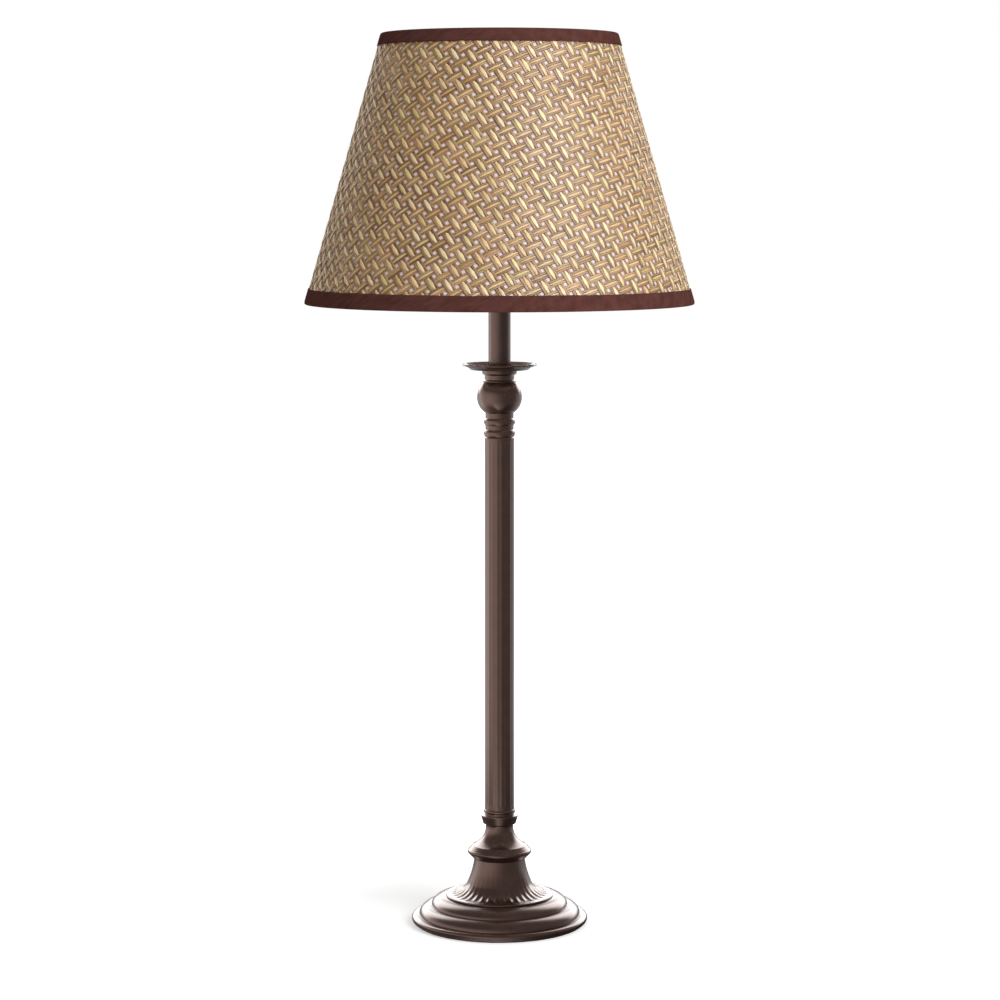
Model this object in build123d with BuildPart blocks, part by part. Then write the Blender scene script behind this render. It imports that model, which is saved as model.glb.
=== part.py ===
from build123d import *
import os
from math import atan2, cos, degrees, hypot, pi, radians, sin, sqrt, tan

# Table lamp: a stepped round foot, a fluted bell and a fluted column that are
# threaded on one hollow rod, a candle tube with its lampholder, and a tapered
# woven shade that hangs on the lampholder by a wire gimbal.
# Millimetres, +Z up, the origin is the centre of the underside of the felt.

# Clearances and overruns
slip_clearance = 0.2        # radial, between the rod and what is threaded on it
spigot_clearance = 0.1      # radial, of a spigot in its tube
running_clearance = 0.08    # radial, of the switch bar in its holes
free_gap = 0.4              # radial, round pieces that lift off or turn
seat_gap = 0.1              # between flat faces that part or slide
cut_overrun = 1.0           # how far a cut runs past the face that it opens
quarter_sagitta_share = (sqrt(2) - 1) / 2   # of the chord of a quarter round

# Felt under the foot
felt_thickness = 1.5
felt_setback = 3.4

# Foot casting: a rim and two quarter-round steps
foot_radius = 80.3
rim_height = 6.6
rim_tuck = 1.4              # how far the rim draws in to its underside
rim_crest_inset = 2.6
rim_land = 2.4              # from the rim's crest in to the quirk
quirk_width = 0.9
quirk_depth = 0.8
lower_step_radius = 73.8
lower_step_width = 8.2
lower_step_height = 17.0    # table to the top of the lower step
upper_step_radius = 62.4
upper_step_width = 8.6
upper_step_height = 25.4    # table to the top of the upper step
casting_wall = 4.2

# Iron weight inside the foot
weight_side_gap = 3.5
weight_base_gap = 2.6
weight_chamfer = 1.2
nut_pocket_radius = 13.0
cord_slot_width = 8.0

# Cord bush at the back of the foot
bush_height = 9.2           # axis above the table
bush_bore_radius = 2.7
bush_barrel_radius = 3.4
bush_tail = 1.2             # how far the barrel stands inside the foot
bush_flange_radius = 4.1
bush_flange_thickness = 1.8
bush_flange_round = 0.7
spot_face_radius = 4.4
spot_face_inset = 2.3       # from the lower step's radius in to the spot face

# Hollow threaded rod with its nut and washer
rod_radius = 5.0
rod_bore_radius = 3.9
rod_tail = 1.4              # how far the rod stands below its nut
nut_flats = 17.0
nut_height = 5.0
washer_radius = 10.0
washer_thickness = 1.5

# Fluted bell
bell_flutes = 32
bell_lip_radius = 49.0
bell_lip_thickness = 1.9
bell_lip_round = 0.6
bell_brim_radius = 46.2     # where the flutes run out on the lip
bell_waist_radius = 30.0    # where the tight cove of the brim meets the side
bell_waist_height = 11.8    # that level, above the bell's underside
bell_top_radius = 23.0
bell_height = 34.9
bell_flute_share = 0.20     # flute depth as a share of its width
bell_wall = 4.0
bell_top_plate = 5.0
bell_mouth_radius = 33.0    # opening of the hollow underneath
bell_side_sections = 4
bell_cove_sections = 6

# Flared cap over the bell
cap_height = 30.1
cap_seat_radius = 23.7
cap_edge_radius = 29.2
cap_edge_rise = 6.8         # widest point of the edge above the seat
cap_edge_half = 1.9
cap_edge_round = 0.7
cap_shoulder_radius = 24.7
cap_shoulder_rise = 12.4
cap_cove_radius = 18.8
cap_neck_radius = 12.5

# Socket that carries the column
socket_height = 15.6
socket_cove_height = 2.4
socket_cove_radius = 15.0
socket_disc_radius = 17.0
socket_disc_rise = 9.3
socket_disc_edge = 0.7
socket_groove_radius = 13.7
socket_groove_height = 2.0
socket_ring_radius = 14.5
spigot_height = 6.0

# Fluted column
column_radius = 13.5
column_length = 340.0
column_flutes = 20
column_flute_depth = 0.85
column_land_share = 0.22    # plain land as a share of the flute pitch
column_band = 1.6           # plain band at each end
column_wall = 3.0

# Collar with two beads over the column
collar_height = 22.4
collar_seat_radius = 13.2
collar_neck_radius = 12.8
bead_radius = 14.2
bead_half = 3.4
lower_bead_rise = 4.2
upper_bead_rise = 14.6

# Ball
ball_radius = 20.35
ball_height = 28.1
ball_equator_rise = 14.1
ball_foot_radius = 12.5
ball_top_radius = 15.3

# Neck between ball and drip pan
neck_height = 11.0
neck_quirk_radius = 13.4
neck_quirk_height = 0.9
neck_drum_radius = 14.3
neck_drum_height = 5.6
neck_waist_radius = 14.0
neck_waist_rise = 7.3
neck_top_radius = 16.0

# Drip pan
pan_height = 5.3
pan_foot_radius = 25.8
pan_ogee_radius = 28.2
pan_ogee_rise = 2.1
pan_rim_radius = 33.5
pan_rim_thickness = 1.6
pan_rim_land = 1.4
pan_dish_depth = 3.6
pan_floor_radius = 26.0
pan_boss_height = 4.0

# Candle tube with its plug
candle_radius = 10.0
candle_wall = 1.0
candle_length = 99.8
plug_thickness = 2.0
plug_spigot = 5.0

# Lampholder, for a bulb with a 27 mm cap
holder_radius = 19.6
holder_foot_radius = 10.5
holder_cap_height = 20.0
holder_dome_height = 9.0
holder_dome_sagitta = 2.4
holder_floor = 2.6
holder_wall = 3.6
holder_rim_wall = 1.7
holder_ledge_depth = 4.0
holder_boss_radius = 8.0
holder_boss_height = 6.4
holder_skirt_height = 36.0
holder_skirt_wall = 2.8
seat_rise = 14.0            # shade seat above the cap's rim
seat_thickness = 2.0
seat_width = 4.2
insulator_height = 10.0     # part of the insulator above its flange
insulator_gap = 0.3
wire_hole_radius = 1.6
wire_hole_offset = 12.0
socket_shell_radius = 14.3
socket_shell_wall = 0.5
socket_shell_height = 22.0
contact_radius = 4.6
contact_plate = 1.0
contact_dome = 1.0
terminal_head_radius = 2.6
terminal_head_height = 2.8
terminal_offset = 10.5
terminal_slot = 0.8

# Switch bar through the lampholder
bar_radius = 2.0
bar_axis_height = 12.6      # above the lampholder's foot
bar_half_length = 26.0
button_radius = 3.6
button_length = 4.6
button_shoulder = 2.0       # part of the button beyond the bar's end
button_round = 0.7
switch_half_travel = 3.0

# Bulb
bulb_contact_radius = 4.8
bulb_contact_height = 2.0
bulb_insulator_radius = 11.2
bulb_insulator_height = 3.6
bulb_cap_radius = 13.1
bulb_cap_height = 20.6
bulb_cap_chamfer = 1.4
bulb_neck_radius = 12.2
bulb_radius = 17.5
bulb_belly_rise = 27.0
bulb_tip_radius = 2.2
bulb_glass_height = 74.0
bulb_glass_wall = 1.0

# Shade
shade_bottom_radius = 174.0     # outer face of the weave at the lower edge
shade_top_radius = 105.2        # outer face of the weave at the upper edge
shade_height = 236.7
shade_drop = 78.2               # lower edge of the shade below its seat
weave_thickness = 1.2
backing_thickness = 0.6
trim_height = 11.8
trim_inner_height = 8.0
trim_thickness = 0.8
wire_radius = 1.25
wire_gap = 0.3                  # between ring wires and the faces round them
glue_gap = 0.15                 # between the weave's outer face and the tape

# Gimbal and retaining ring
gimbal_arm_count = 3
gimbal_first_angle = 90.0
gimbal_plate_thickness = 1.6
gimbal_plate_width = 9.0
gimbal_arm_inset = 1.4          # arm's foot in from the plate's rim
ring_height = 6.0
ring_width = 5.0
ring_grips = 24
ring_grip_depth = 0.6

# Levels of the joints between pieces, from the table up
casting_top = upper_step_height
bell_top = casting_top + bell_height
cap_top = bell_top + cap_height
socket_top = cap_top + socket_height
column_top = socket_top + column_length
collar_top = column_top + collar_height
ball_top = collar_top + ball_height
neck_top = ball_top + neck_height
pan_top = neck_top + pan_height
pan_floor = pan_top - pan_dish_depth
candle_top = pan_floor + candle_length
holder_base = candle_top + plug_thickness
holder_rim = holder_base + holder_cap_height
seat_level = holder_rim + seat_rise + seat_thickness
holder_mouth = holder_rim + holder_skirt_height
insulator_top = holder_rim + insulator_height
bore_radius = rod_radius + slip_clearance


def scalloped_ring(radius, count, depth, land_share=0.0):
    """Draw a closed outline of hollow flutes, with lands between them if asked."""
    pitch = 2 * pi / count
    half_flute = pitch * (1 - land_share) / 2
    for index in range(count):
        middle = index * pitch
        start, end, following = middle - half_flute, middle + half_flute, middle + pitch - half_flute
        ThreePointArc(
            (radius * cos(start), radius * sin(start)),
            ((radius - depth) * cos(middle), (radius - depth) * sin(middle)),
            (radius * cos(end), radius * sin(end)),
        )
        if land_share:
            land_middle = (end + following) / 2
            ThreePointArc(
                (radius * cos(end), radius * sin(end)),
                (radius * cos(land_middle), radius * sin(land_middle)),
                (radius * cos(following), radius * sin(following)),
            )


def quarter_round(start, end):
    """Draw a convex quarter round between two points of an outline drawn inwards."""
    chord = hypot(end[0] - start[0], end[1] - start[1])
    SagittaArc(start, end, -chord * quarter_sagitta_share)


def upright_arc(crest, end):
    """Draw an arc that leaves the widest point of an outline upright and ends at a point."""
    step_in, rise = crest[0] - end[0], end[1] - crest[1]
    arc_radius = (step_in ** 2 + rise ** 2) / (2 * step_in)
    middle = atan2(rise, arc_radius - step_in) / 2
    ThreePointArc(
        crest,
        (crest[0] - arc_radius * (1 - cos(middle)), crest[1] + arc_radius * sin(middle)),
        end,
    )


def cone_radius(height):
    """Outer radius of the weave at a height above the shade's lower edge."""
    taper = (shade_bottom_radius - shade_top_radius) / shade_height
    return shade_bottom_radius - taper * height


os.makedirs("parts", exist_ok=True)


# Felt
with BuildPart() as felt_pad:
    with BuildSketch():
        Circle(foot_radius - felt_setback)
    extrude(amount=felt_thickness)
felt_pad.part.label = "felt_pad"
export_step(felt_pad.part, "parts/felt_pad.step")


# Foot casting
rim_crest_radius = foot_radius - rim_crest_inset
quirk_level = rim_height - quirk_depth
upper_quirk_level = lower_step_height - quirk_depth
lower_crest_radius = lower_step_radius - lower_step_width
upper_crest_radius = upper_step_radius - upper_step_width
lower_recess_radius = lower_crest_radius - casting_wall / 2
upper_recess_radius = upper_crest_radius - casting_wall
lower_recess_top = lower_step_height - casting_wall
upper_recess_top = upper_step_height - casting_wall
spot_face_level = lower_step_radius - spot_face_inset

with BuildPart() as foot_casting:
    with BuildSketch(Plane.XZ):
        with BuildLine():
            underside = (foot_radius - rim_tuck, felt_thickness)
            crest = (rim_crest_radius, rim_height)
            ThreePointArc(underside, (foot_radius, (felt_thickness + rim_height) / 2), crest)
            Polyline(
                crest,
                (rim_crest_radius - rim_land, rim_height),
                (lower_step_radius + quirk_width, quirk_level),
                (lower_step_radius, quirk_level),
                (lower_step_radius, rim_height),
            )
            quarter_round((lower_step_radius, rim_height), (lower_crest_radius, lower_step_height))
            Polyline(
                (lower_crest_radius, lower_step_height),
                (upper_step_radius + quirk_width, upper_quirk_level),
                (upper_step_radius, upper_quirk_level),
                (upper_step_radius, lower_step_height),
            )
            quarter_round(
                (upper_step_radius, lower_step_height), (upper_crest_radius, upper_step_height)
            )
            Polyline(
                (upper_crest_radius, upper_step_height),
                (bore_radius, upper_step_height),
                (bore_radius, upper_recess_top),
                (upper_recess_radius, upper_recess_top),
                (upper_recess_radius, lower_recess_top),
                (lower_recess_radius, lower_recess_top),
                (lower_recess_radius, felt_thickness),
                underside,
            )
        make_face()
    revolve(axis=Axis.Z)
    with BuildSketch(Plane.XZ.offset(-foot_radius)):
        with Locations((0, bush_height)):
            Circle(bush_barrel_radius)
    extrude(amount=foot_radius - lower_recess_radius + cut_overrun, mode=Mode.SUBTRACT)
    with BuildSketch(Plane.XZ.offset(-foot_radius)):
        with Locations((0, bush_height)):
            Circle(spot_face_radius)
    extrude(amount=foot_radius - spot_face_level, mode=Mode.SUBTRACT)
foot_casting.part.label = "foot_casting"
export_step(foot_casting.part, "parts/foot_casting.step")


# Iron weight, with a pocket for the nut and a slot for the cord
weight_base = felt_thickness + weight_base_gap
weight_radius = lower_recess_radius - weight_side_gap
weight_boss_radius = upper_recess_radius - weight_side_gap

with BuildPart() as foot_weight:
    with BuildSketch(Plane.XZ):
        with BuildLine():
            Polyline(
                (nut_pocket_radius, weight_base),
                (weight_radius - weight_chamfer, weight_base),
                (weight_radius, weight_base + weight_chamfer),
                (weight_radius, lower_recess_top),
                (weight_boss_radius, lower_recess_top),
                (weight_boss_radius, upper_recess_top),
                (bore_radius, upper_recess_top),
                (bore_radius, lower_recess_top),
                (nut_pocket_radius, lower_recess_top),
                close=True,
            )
        make_face()
    revolve(axis=Axis.Z)
    with BuildSketch(Plane.XY.offset(weight_base)):
        with Locations((0, weight_radius / 2)):
            Rectangle(cord_slot_width, weight_radius + cut_overrun)
    extrude(amount=lower_recess_top - weight_base, mode=Mode.SUBTRACT)
foot_weight.part.label = "foot_weight"
export_step(foot_weight.part, "parts/foot_weight.step")


# Bush that guides the cord through the back of the foot
bush_end = lower_recess_radius - bush_tail
bush_nose = spot_face_level + bush_flange_thickness

with BuildPart() as cord_bush:
    with BuildSketch(Plane.YZ):
        with BuildLine():
            Polyline(
                (bush_end, bush_height + bush_bore_radius),
                (bush_end, bush_height + bush_barrel_radius),
                (spot_face_level, bush_height + bush_barrel_radius),
                (spot_face_level, bush_height + bush_flange_radius),
                (bush_nose - bush_flange_round, bush_height + bush_flange_radius),
                (bush_nose, bush_height + bush_flange_radius - bush_flange_round),
                (bush_nose, bush_height + bush_bore_radius),
                close=True,
            )
        make_face()
    revolve(axis=Axis((0, 0, bush_height), (0, 1, 0)))
cord_bush.part.label = "cord_bush"
export_step(cord_bush.part, "parts/cord_bush.step")


# Washer, nut and rod
washer_base = lower_recess_top - washer_thickness
nut_base = washer_base - nut_height
rod_base = nut_base - rod_tail
rod_top = holder_base + holder_boss_height

with BuildPart() as rod_washer:
    with BuildSketch(Plane.XY.offset(washer_base)):
        Circle(washer_radius)
        Circle(bore_radius, mode=Mode.SUBTRACT)
    extrude(amount=washer_thickness)
rod_washer.part.label = "rod_washer"
export_step(rod_washer.part, "parts/rod_washer.step")

with BuildPart() as rod_nut:
    with BuildSketch(Plane.XY.offset(nut_base)):
        RegularPolygon(nut_flats / 2, 6, major_radius=False)
        Circle(bore_radius, mode=Mode.SUBTRACT)
    extrude(amount=nut_height)
rod_nut.part.label = "rod_nut"
export_step(rod_nut.part, "parts/rod_nut.step")

with BuildPart() as stem_rod:
    with BuildSketch(Plane.XY.offset(rod_base)):
        Circle(rod_radius)
        Circle(rod_bore_radius, mode=Mode.SUBTRACT)
    extrude(amount=rod_top - rod_base)
stem_rod.part.label = "stem_rod"
export_step(stem_rod.part, "parts/stem_rod.step")


# Fluted bell: sections of hollow flutes, set along the cove of the brim and up the side.
# The cove leaves the lip level, and the side leaves the cove in line.
lip_top = casting_top + bell_lip_thickness
waist_level = casting_top + bell_waist_height
cove_rise = waist_level - lip_top
cove_run = bell_brim_radius - bell_waist_radius
cove_radius = (cove_run ** 2 + cove_rise ** 2) / (2 * cove_rise)
cove_turn = atan2(cove_run, cove_radius - cove_rise)
side_run = bell_waist_radius - bell_top_radius
side_rise = bell_top - waist_level
side_sagitta = hypot(side_run, side_rise) / 2 * tan((atan2(side_rise, side_run) - cove_turn) / 2)


def cove_section(share):
    """Crest radius and level of a bell section, from brim (0) to waist (1)."""
    turn = cove_turn * share
    return bell_brim_radius - cove_radius * sin(turn), lip_top + cove_radius * (1 - cos(turn))


def side_section(share):
    """Crest radius and level of a bell section, from waist (0) to top (1)."""
    hollow = 4 * side_sagitta * share * (1 - share)
    return bell_waist_radius - side_run * share - hollow, waist_level + side_rise * share


cove_shares = [index / bell_cove_sections for index in range(bell_cove_sections)]
side_shares = [index / bell_side_sections for index in range(bell_side_sections + 1)]
bell_sections = [cove_section(share) for share in cove_shares]
bell_sections += [side_section(share) for share in side_shares]
run_out_shares = [0.05, 0.75] + [1.0] * (len(bell_sections) - 2)

with BuildPart() as bell:
    for (radius, level), run_out in zip(bell_sections, run_out_shares):
        flute_depth = bell_flute_share * run_out * 2 * pi * radius / bell_flutes
        with BuildSketch(Plane.XY.offset(level)):
            with BuildLine():
                scalloped_ring(radius, bell_flutes, flute_depth)
            make_face()
    loft()
    with BuildSketch(Plane.XZ):
        with BuildLine():
            Polyline(
                (0, casting_top),
                (bell_lip_radius, casting_top),
                (bell_lip_radius, lip_top - bell_lip_round),
                (bell_lip_radius - bell_lip_round, lip_top),
                (0, lip_top),
                close=True,
            )
        make_face()
    revolve(axis=Axis.Z)
    with BuildSketch(Plane.XZ):
        with BuildLine():
            Polyline(
                (0, casting_top - cut_overrun),
                (bell_mouth_radius, casting_top - cut_overrun),
                (bell_mouth_radius, casting_top),
                (bell_waist_radius - bell_wall, waist_level),
                (bell_top_radius - bell_wall, bell_top - bell_top_plate),
                (bore_radius, bell_top - bell_top_plate),
                (bore_radius, bell_top + cut_overrun),
                (0, bell_top + cut_overrun),
                close=True,
            )
        make_face()
    revolve(axis=Axis.Z, mode=Mode.SUBTRACT)
bell.part.label = "bell"
export_step(bell.part, "parts/bell.step")


# Flared cap on the bell
edge_level = bell_top + cap_edge_rise
shoulder_level = bell_top + cap_shoulder_rise
cap_cove_centre = cap_neck_radius + cap_cove_radius
cap_cove_drop = sqrt(cap_cove_radius ** 2 - (cap_cove_centre - cap_shoulder_radius) ** 2)
cap_neck_level = shoulder_level + cap_cove_drop
cap_cove_middle = atan2(-cap_cove_drop, cap_shoulder_radius - cap_cove_centre) / 2 - pi / 2

with BuildPart() as bell_cap:
    with BuildSketch(Plane.XZ):
        with BuildLine():
            Polyline(
                (bore_radius, bell_top),
                (cap_seat_radius, bell_top),
                (cap_edge_radius - cap_edge_round, edge_level - cap_edge_half),
            )
            ThreePointArc(
                (cap_edge_radius - cap_edge_round, edge_level - cap_edge_half),
                (cap_edge_radius, edge_level),
                (cap_edge_radius - cap_edge_round - cap_edge_half / 4, edge_level + cap_edge_half),
            )
            Line(
                (cap_edge_radius - cap_edge_round - cap_edge_half / 4, edge_level + cap_edge_half),
                (cap_shoulder_radius, shoulder_level),
            )
            ThreePointArc(
                (cap_shoulder_radius, shoulder_level),
                (cap_cove_centre + cap_cove_radius * cos(cap_cove_middle),
                 cap_neck_level + cap_cove_radius * sin(cap_cove_middle)),
                (cap_neck_radius, cap_neck_level),
            )
            Polyline(
                (cap_neck_radius, cap_neck_level),
                (cap_neck_radius, cap_top),
                (bore_radius, cap_top),
                (bore_radius, bell_top),
            )
        make_face()
    revolve(axis=Axis.Z)
bell_cap.part.label = "bell_cap"
export_step(bell_cap.part, "parts/bell_cap.step")


# Socket under the column
column_bore_radius = column_radius - column_wall
spigot_radius = column_bore_radius - spigot_clearance
disc_level = cap_top + socket_disc_rise
groove_top = disc_level + socket_disc_edge + socket_groove_height

with BuildPart() as column_socket:
    with BuildSketch(Plane.XZ):
        with BuildLine():
            cove_start = (cap_neck_radius, cap_top)
            cove_end = (socket_cove_radius, cap_top + socket_cove_height)
            cove_chord = hypot(cove_end[0] - cove_start[0], cove_end[1] - cove_start[1])
            SagittaArc(cove_start, cove_end, cove_chord * quarter_sagitta_share)
            Polyline(
                cove_end,
                (socket_disc_radius, disc_level),
                (socket_disc_radius, disc_level + socket_disc_edge),
                (socket_groove_radius, disc_level + socket_disc_edge),
                (socket_groove_radius, groove_top),
            )
            ThreePointArc(
                (socket_groove_radius, groove_top),
                (socket_ring_radius, (groove_top + socket_top) / 2),
                (socket_groove_radius, socket_top),
            )
            Polyline(
                (socket_groove_radius, socket_top),
                (spigot_radius, socket_top),
                (spigot_radius, socket_top + spigot_height),
                (bore_radius, socket_top + spigot_height),
                (bore_radius, cap_top),
                cove_start,
            )
        make_face()
    revolve(axis=Axis.Z)
column_socket.part.label = "column_socket"
export_step(column_socket.part, "parts/column_socket.step")


# Fluted column
with BuildPart() as column:
    with BuildSketch(Plane.XY.offset(socket_top)):
        Circle(column_radius)
        Circle(column_bore_radius, mode=Mode.SUBTRACT)
    extrude(amount=column_length)
    with BuildSketch(Plane.XY.offset(socket_top + column_band)):
        Circle(column_radius + cut_overrun)
        with BuildLine():
            scalloped_ring(column_radius, column_flutes, column_flute_depth, column_land_share)
        make_face(mode=Mode.SUBTRACT)
    extrude(amount=column_length - 2 * column_band, mode=Mode.SUBTRACT)
column.part.label = "column"
export_step(column.part, "parts/column.step")


# Collar with two beads
with BuildPart() as bead_collar:
    with BuildSketch(Plane.XZ):
        with BuildLine():
            Polyline(
                (bore_radius, column_top - spigot_height),
                (spigot_radius, column_top - spigot_height),
                (spigot_radius, column_top),
                (collar_seat_radius, column_top),
                (collar_neck_radius, column_top + lower_bead_rise - bead_half),
            )
            for rise in (lower_bead_rise, upper_bead_rise):
                ThreePointArc(
                    (collar_neck_radius, column_top + rise - bead_half),
                    (bead_radius, column_top + rise),
                    (collar_neck_radius, column_top + rise + bead_half),
                )
            Line(
                (collar_neck_radius, column_top + lower_bead_rise + bead_half),
                (collar_neck_radius, column_top + upper_bead_rise - bead_half),
            )
            Polyline(
                (collar_neck_radius, column_top + upper_bead_rise + bead_half),
                (collar_neck_radius, collar_top),
                (bore_radius, collar_top),
                (bore_radius, column_top - spigot_height),
            )
        make_face()
    revolve(axis=Axis.Z)
bead_collar.part.label = "bead_collar"
export_step(bead_collar.part, "parts/bead_collar.step")


# Ball: two arcs that meet upright at the equator
equator = (ball_radius, collar_top + ball_equator_rise)

with BuildPart() as ball_knop:
    with BuildSketch(Plane.XZ):
        with BuildLine():
            upright_arc(equator, (ball_foot_radius, collar_top))
            upright_arc(equator, (ball_top_radius, ball_top))
            Polyline(
                (ball_top_radius, ball_top),
                (bore_radius, ball_top),
                (bore_radius, collar_top),
                (ball_foot_radius, collar_top),
            )
        make_face()
    revolve(axis=Axis.Z)
ball_knop.part.label = "ball_knop"
export_step(ball_knop.part, "parts/ball_knop.step")


# Neck between the ball and the drip pan
with BuildPart() as neck_ring:
    with BuildSketch(Plane.XZ):
        with BuildLine():
            Polyline(
                (bore_radius, ball_top),
                (neck_quirk_radius, ball_top),
                (neck_quirk_radius, ball_top + neck_quirk_height),
                (neck_drum_radius, ball_top + neck_quirk_height),
                (neck_drum_radius, ball_top + neck_drum_height),
            )
            ThreePointArc(
                (neck_drum_radius, ball_top + neck_drum_height),
                (neck_waist_radius, ball_top + neck_waist_rise),
                (neck_top_radius, neck_top),
            )
            Polyline(
                (neck_top_radius, neck_top),
                (bore_radius, neck_top),
                (bore_radius, ball_top),
            )
        make_face()
    revolve(axis=Axis.Z)
neck_ring.part.label = "neck_ring"
export_step(neck_ring.part, "parts/neck_ring.step")


# Drip pan: a thin dished disc on a moulded foot
candle_bore_radius = candle_radius - candle_wall
pan_boss_radius = candle_bore_radius - spigot_clearance
pan_rim_base = pan_top - pan_rim_thickness

with BuildPart() as drip_pan:
    with BuildSketch(Plane.XZ):
        with BuildLine():
            Polyline(
                (bore_radius, neck_top),
                (pan_foot_radius, neck_top),
                (pan_ogee_radius, neck_top + pan_ogee_rise),
                (pan_rim_radius - pan_rim_thickness / 2, pan_rim_base),
            )
            ThreePointArc(
                (pan_rim_radius - pan_rim_thickness / 2, pan_rim_base),
                (pan_rim_radius, pan_top - pan_rim_thickness / 2),
                (pan_rim_radius - pan_rim_thickness / 2, pan_top),
            )
            Polyline(
                (pan_rim_radius - pan_rim_thickness / 2, pan_top),
                (pan_rim_radius - pan_rim_land, pan_top),
                (pan_floor_radius, pan_floor),
                (pan_boss_radius, pan_floor),
                (pan_boss_radius, pan_floor + pan_boss_height),
                (bore_radius, pan_floor + pan_boss_height),
                (bore_radius, neck_top),
            )
        make_face()
    revolve(axis=Axis.Z)
drip_pan.part.label = "drip_pan"
export_step(drip_pan.part, "parts/drip_pan.step")


# Candle tube and the plug in its top
with BuildPart() as candle_tube:
    with BuildSketch(Plane.XY.offset(pan_floor)):
        Circle(candle_radius)
        Circle(candle_bore_radius, mode=Mode.SUBTRACT)
    extrude(amount=candle_length)
candle_tube.part.label = "candle_tube"
export_step(candle_tube.part, "parts/candle_tube.step")

with BuildPart() as candle_plug:
    with BuildSketch(Plane.XY.offset(candle_top)):
        Circle(candle_radius)
    extrude(amount=plug_thickness)
    with BuildSketch(Plane.XY.offset(candle_top - plug_spigot)):
        Circle(pan_boss_radius)
    extrude(amount=plug_spigot)
    with BuildSketch(Plane.XY.offset(candle_top - plug_spigot)):
        Circle(bore_radius)
    extrude(amount=plug_spigot + plug_thickness, mode=Mode.SUBTRACT)
candle_plug.part.label = "candle_plug"
export_step(candle_plug.part, "parts/candle_plug.step")


# Cap of the lampholder, threaded on the rod, with holes for the switch bar
cap_inner_radius = holder_radius - holder_wall
ledge_level = holder_rim - holder_ledge_depth
ledge_radius = holder_radius - holder_rim_wall
dome_level = holder_base + holder_dome_height
bar_level = holder_base + bar_axis_height
bar_hole_radius = bar_radius + running_clearance

with BuildPart() as holder_cap:
    with BuildSketch(Plane.XZ):
        with BuildLine():
            Line((bore_radius, holder_base), (holder_foot_radius, holder_base))
            SagittaArc(
                (holder_foot_radius, holder_base), (holder_radius, dome_level), -holder_dome_sagitta
            )
            Polyline(
                (holder_radius, dome_level),
                (holder_radius, holder_rim),
                (ledge_radius, holder_rim),
                (ledge_radius, ledge_level),
                (cap_inner_radius, ledge_level),
                (cap_inner_radius, dome_level),
                (holder_foot_radius, holder_base + holder_floor),
                (holder_boss_radius, holder_base + holder_floor),
                (holder_boss_radius, rod_top),
                (bore_radius, rod_top),
                (bore_radius, holder_base),
            )
        make_face()
    revolve(axis=Axis.Z)
    with BuildSketch(Plane.YZ.offset(-holder_radius - cut_overrun)):
        with Locations((0, bar_level)):
            Circle(bar_hole_radius)
    extrude(amount=2 * (holder_radius + cut_overrun), mode=Mode.SUBTRACT)
holder_cap.part.label = "holder_cap"
export_step(holder_cap.part, "parts/holder_cap.step")


# Insulator, held between the ledge of the cap and the skirt
skirt_inner_radius = holder_radius - holder_skirt_wall

with BuildPart() as holder_insulator:
    with BuildSketch(Plane.XY.offset(ledge_level)):
        Circle(ledge_radius - insulator_gap)
    extrude(amount=holder_ledge_depth)
    with BuildSketch(Plane.XY.offset(holder_rim)):
        Circle(skirt_inner_radius - insulator_gap)
    extrude(amount=insulator_height)
    with BuildSketch(Plane.XY.offset(ledge_level)):
        with PolarLocations(wire_hole_offset, 2):
            Circle(wire_hole_radius)
    extrude(amount=holder_ledge_depth + insulator_height, mode=Mode.SUBTRACT)
holder_insulator.part.label = "holder_insulator"
export_step(holder_insulator.part, "parts/holder_insulator.step")

with BuildPart() as terminal_screws:
    with BuildSketch(Plane.XY.offset(ledge_level - terminal_head_height)):
        with PolarLocations(terminal_offset, 2, start_angle=90):
            Circle(terminal_head_radius)
            Rectangle(2 * terminal_head_radius + cut_overrun, terminal_slot, mode=Mode.SUBTRACT)
    extrude(amount=terminal_head_height / 3)
    with BuildSketch(Plane.XY.offset(ledge_level - terminal_head_height * 2 / 3)):
        with PolarLocations(terminal_offset, 2, start_angle=90):
            Circle(terminal_head_radius)
    extrude(amount=terminal_head_height * 2 / 3)
terminal_screws.part.label = "terminal_screws"
export_step(terminal_screws.part, "parts/terminal_screws.step")


# Skirt with the seat for the shade
with BuildPart() as holder_skirt:
    with BuildSketch(Plane.XZ):
        with BuildLine():
            Polyline(
                (skirt_inner_radius, holder_rim),
                (holder_radius, holder_rim),
                (holder_radius, seat_level - seat_thickness),
                (holder_radius + seat_width, seat_level - seat_thickness),
                (holder_radius + seat_width, seat_level),
                (holder_radius, seat_level),
                (holder_radius, holder_mouth - seat_gap),
                (holder_radius - holder_skirt_wall / 3, holder_mouth),
                (skirt_inner_radius, holder_mouth),
                close=True,
            )
        make_face()
    revolve(axis=Axis.Z)
holder_skirt.part.label = "holder_skirt"
export_step(holder_skirt.part, "parts/holder_skirt.step")


# Screw shell and centre contact for the bulb
with BuildPart() as screw_shell:
    with BuildSketch(Plane.XY.offset(insulator_top)):
        Circle(socket_shell_radius)
        Circle(socket_shell_radius - socket_shell_wall, mode=Mode.SUBTRACT)
    extrude(amount=socket_shell_height)
screw_shell.part.label = "screw_shell"
export_step(screw_shell.part, "parts/screw_shell.step")

contact_level = insulator_top + contact_plate + contact_dome

with BuildPart() as centre_contact:
    with BuildSketch(Plane.XY.offset(insulator_top)):
        Circle(contact_radius)
    extrude(amount=contact_plate)
    with BuildSketch(Plane.XY.offset(insulator_top + contact_plate)):
        Circle(contact_radius / 2)
    extrude(amount=contact_dome)
    fillet(centre_contact.edges().sort_by(Axis.Z)[-1], radius=contact_dome / 2)
centre_contact.part.label = "centre_contact"
export_step(centre_contact.part, "parts/centre_contact.step")


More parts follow.
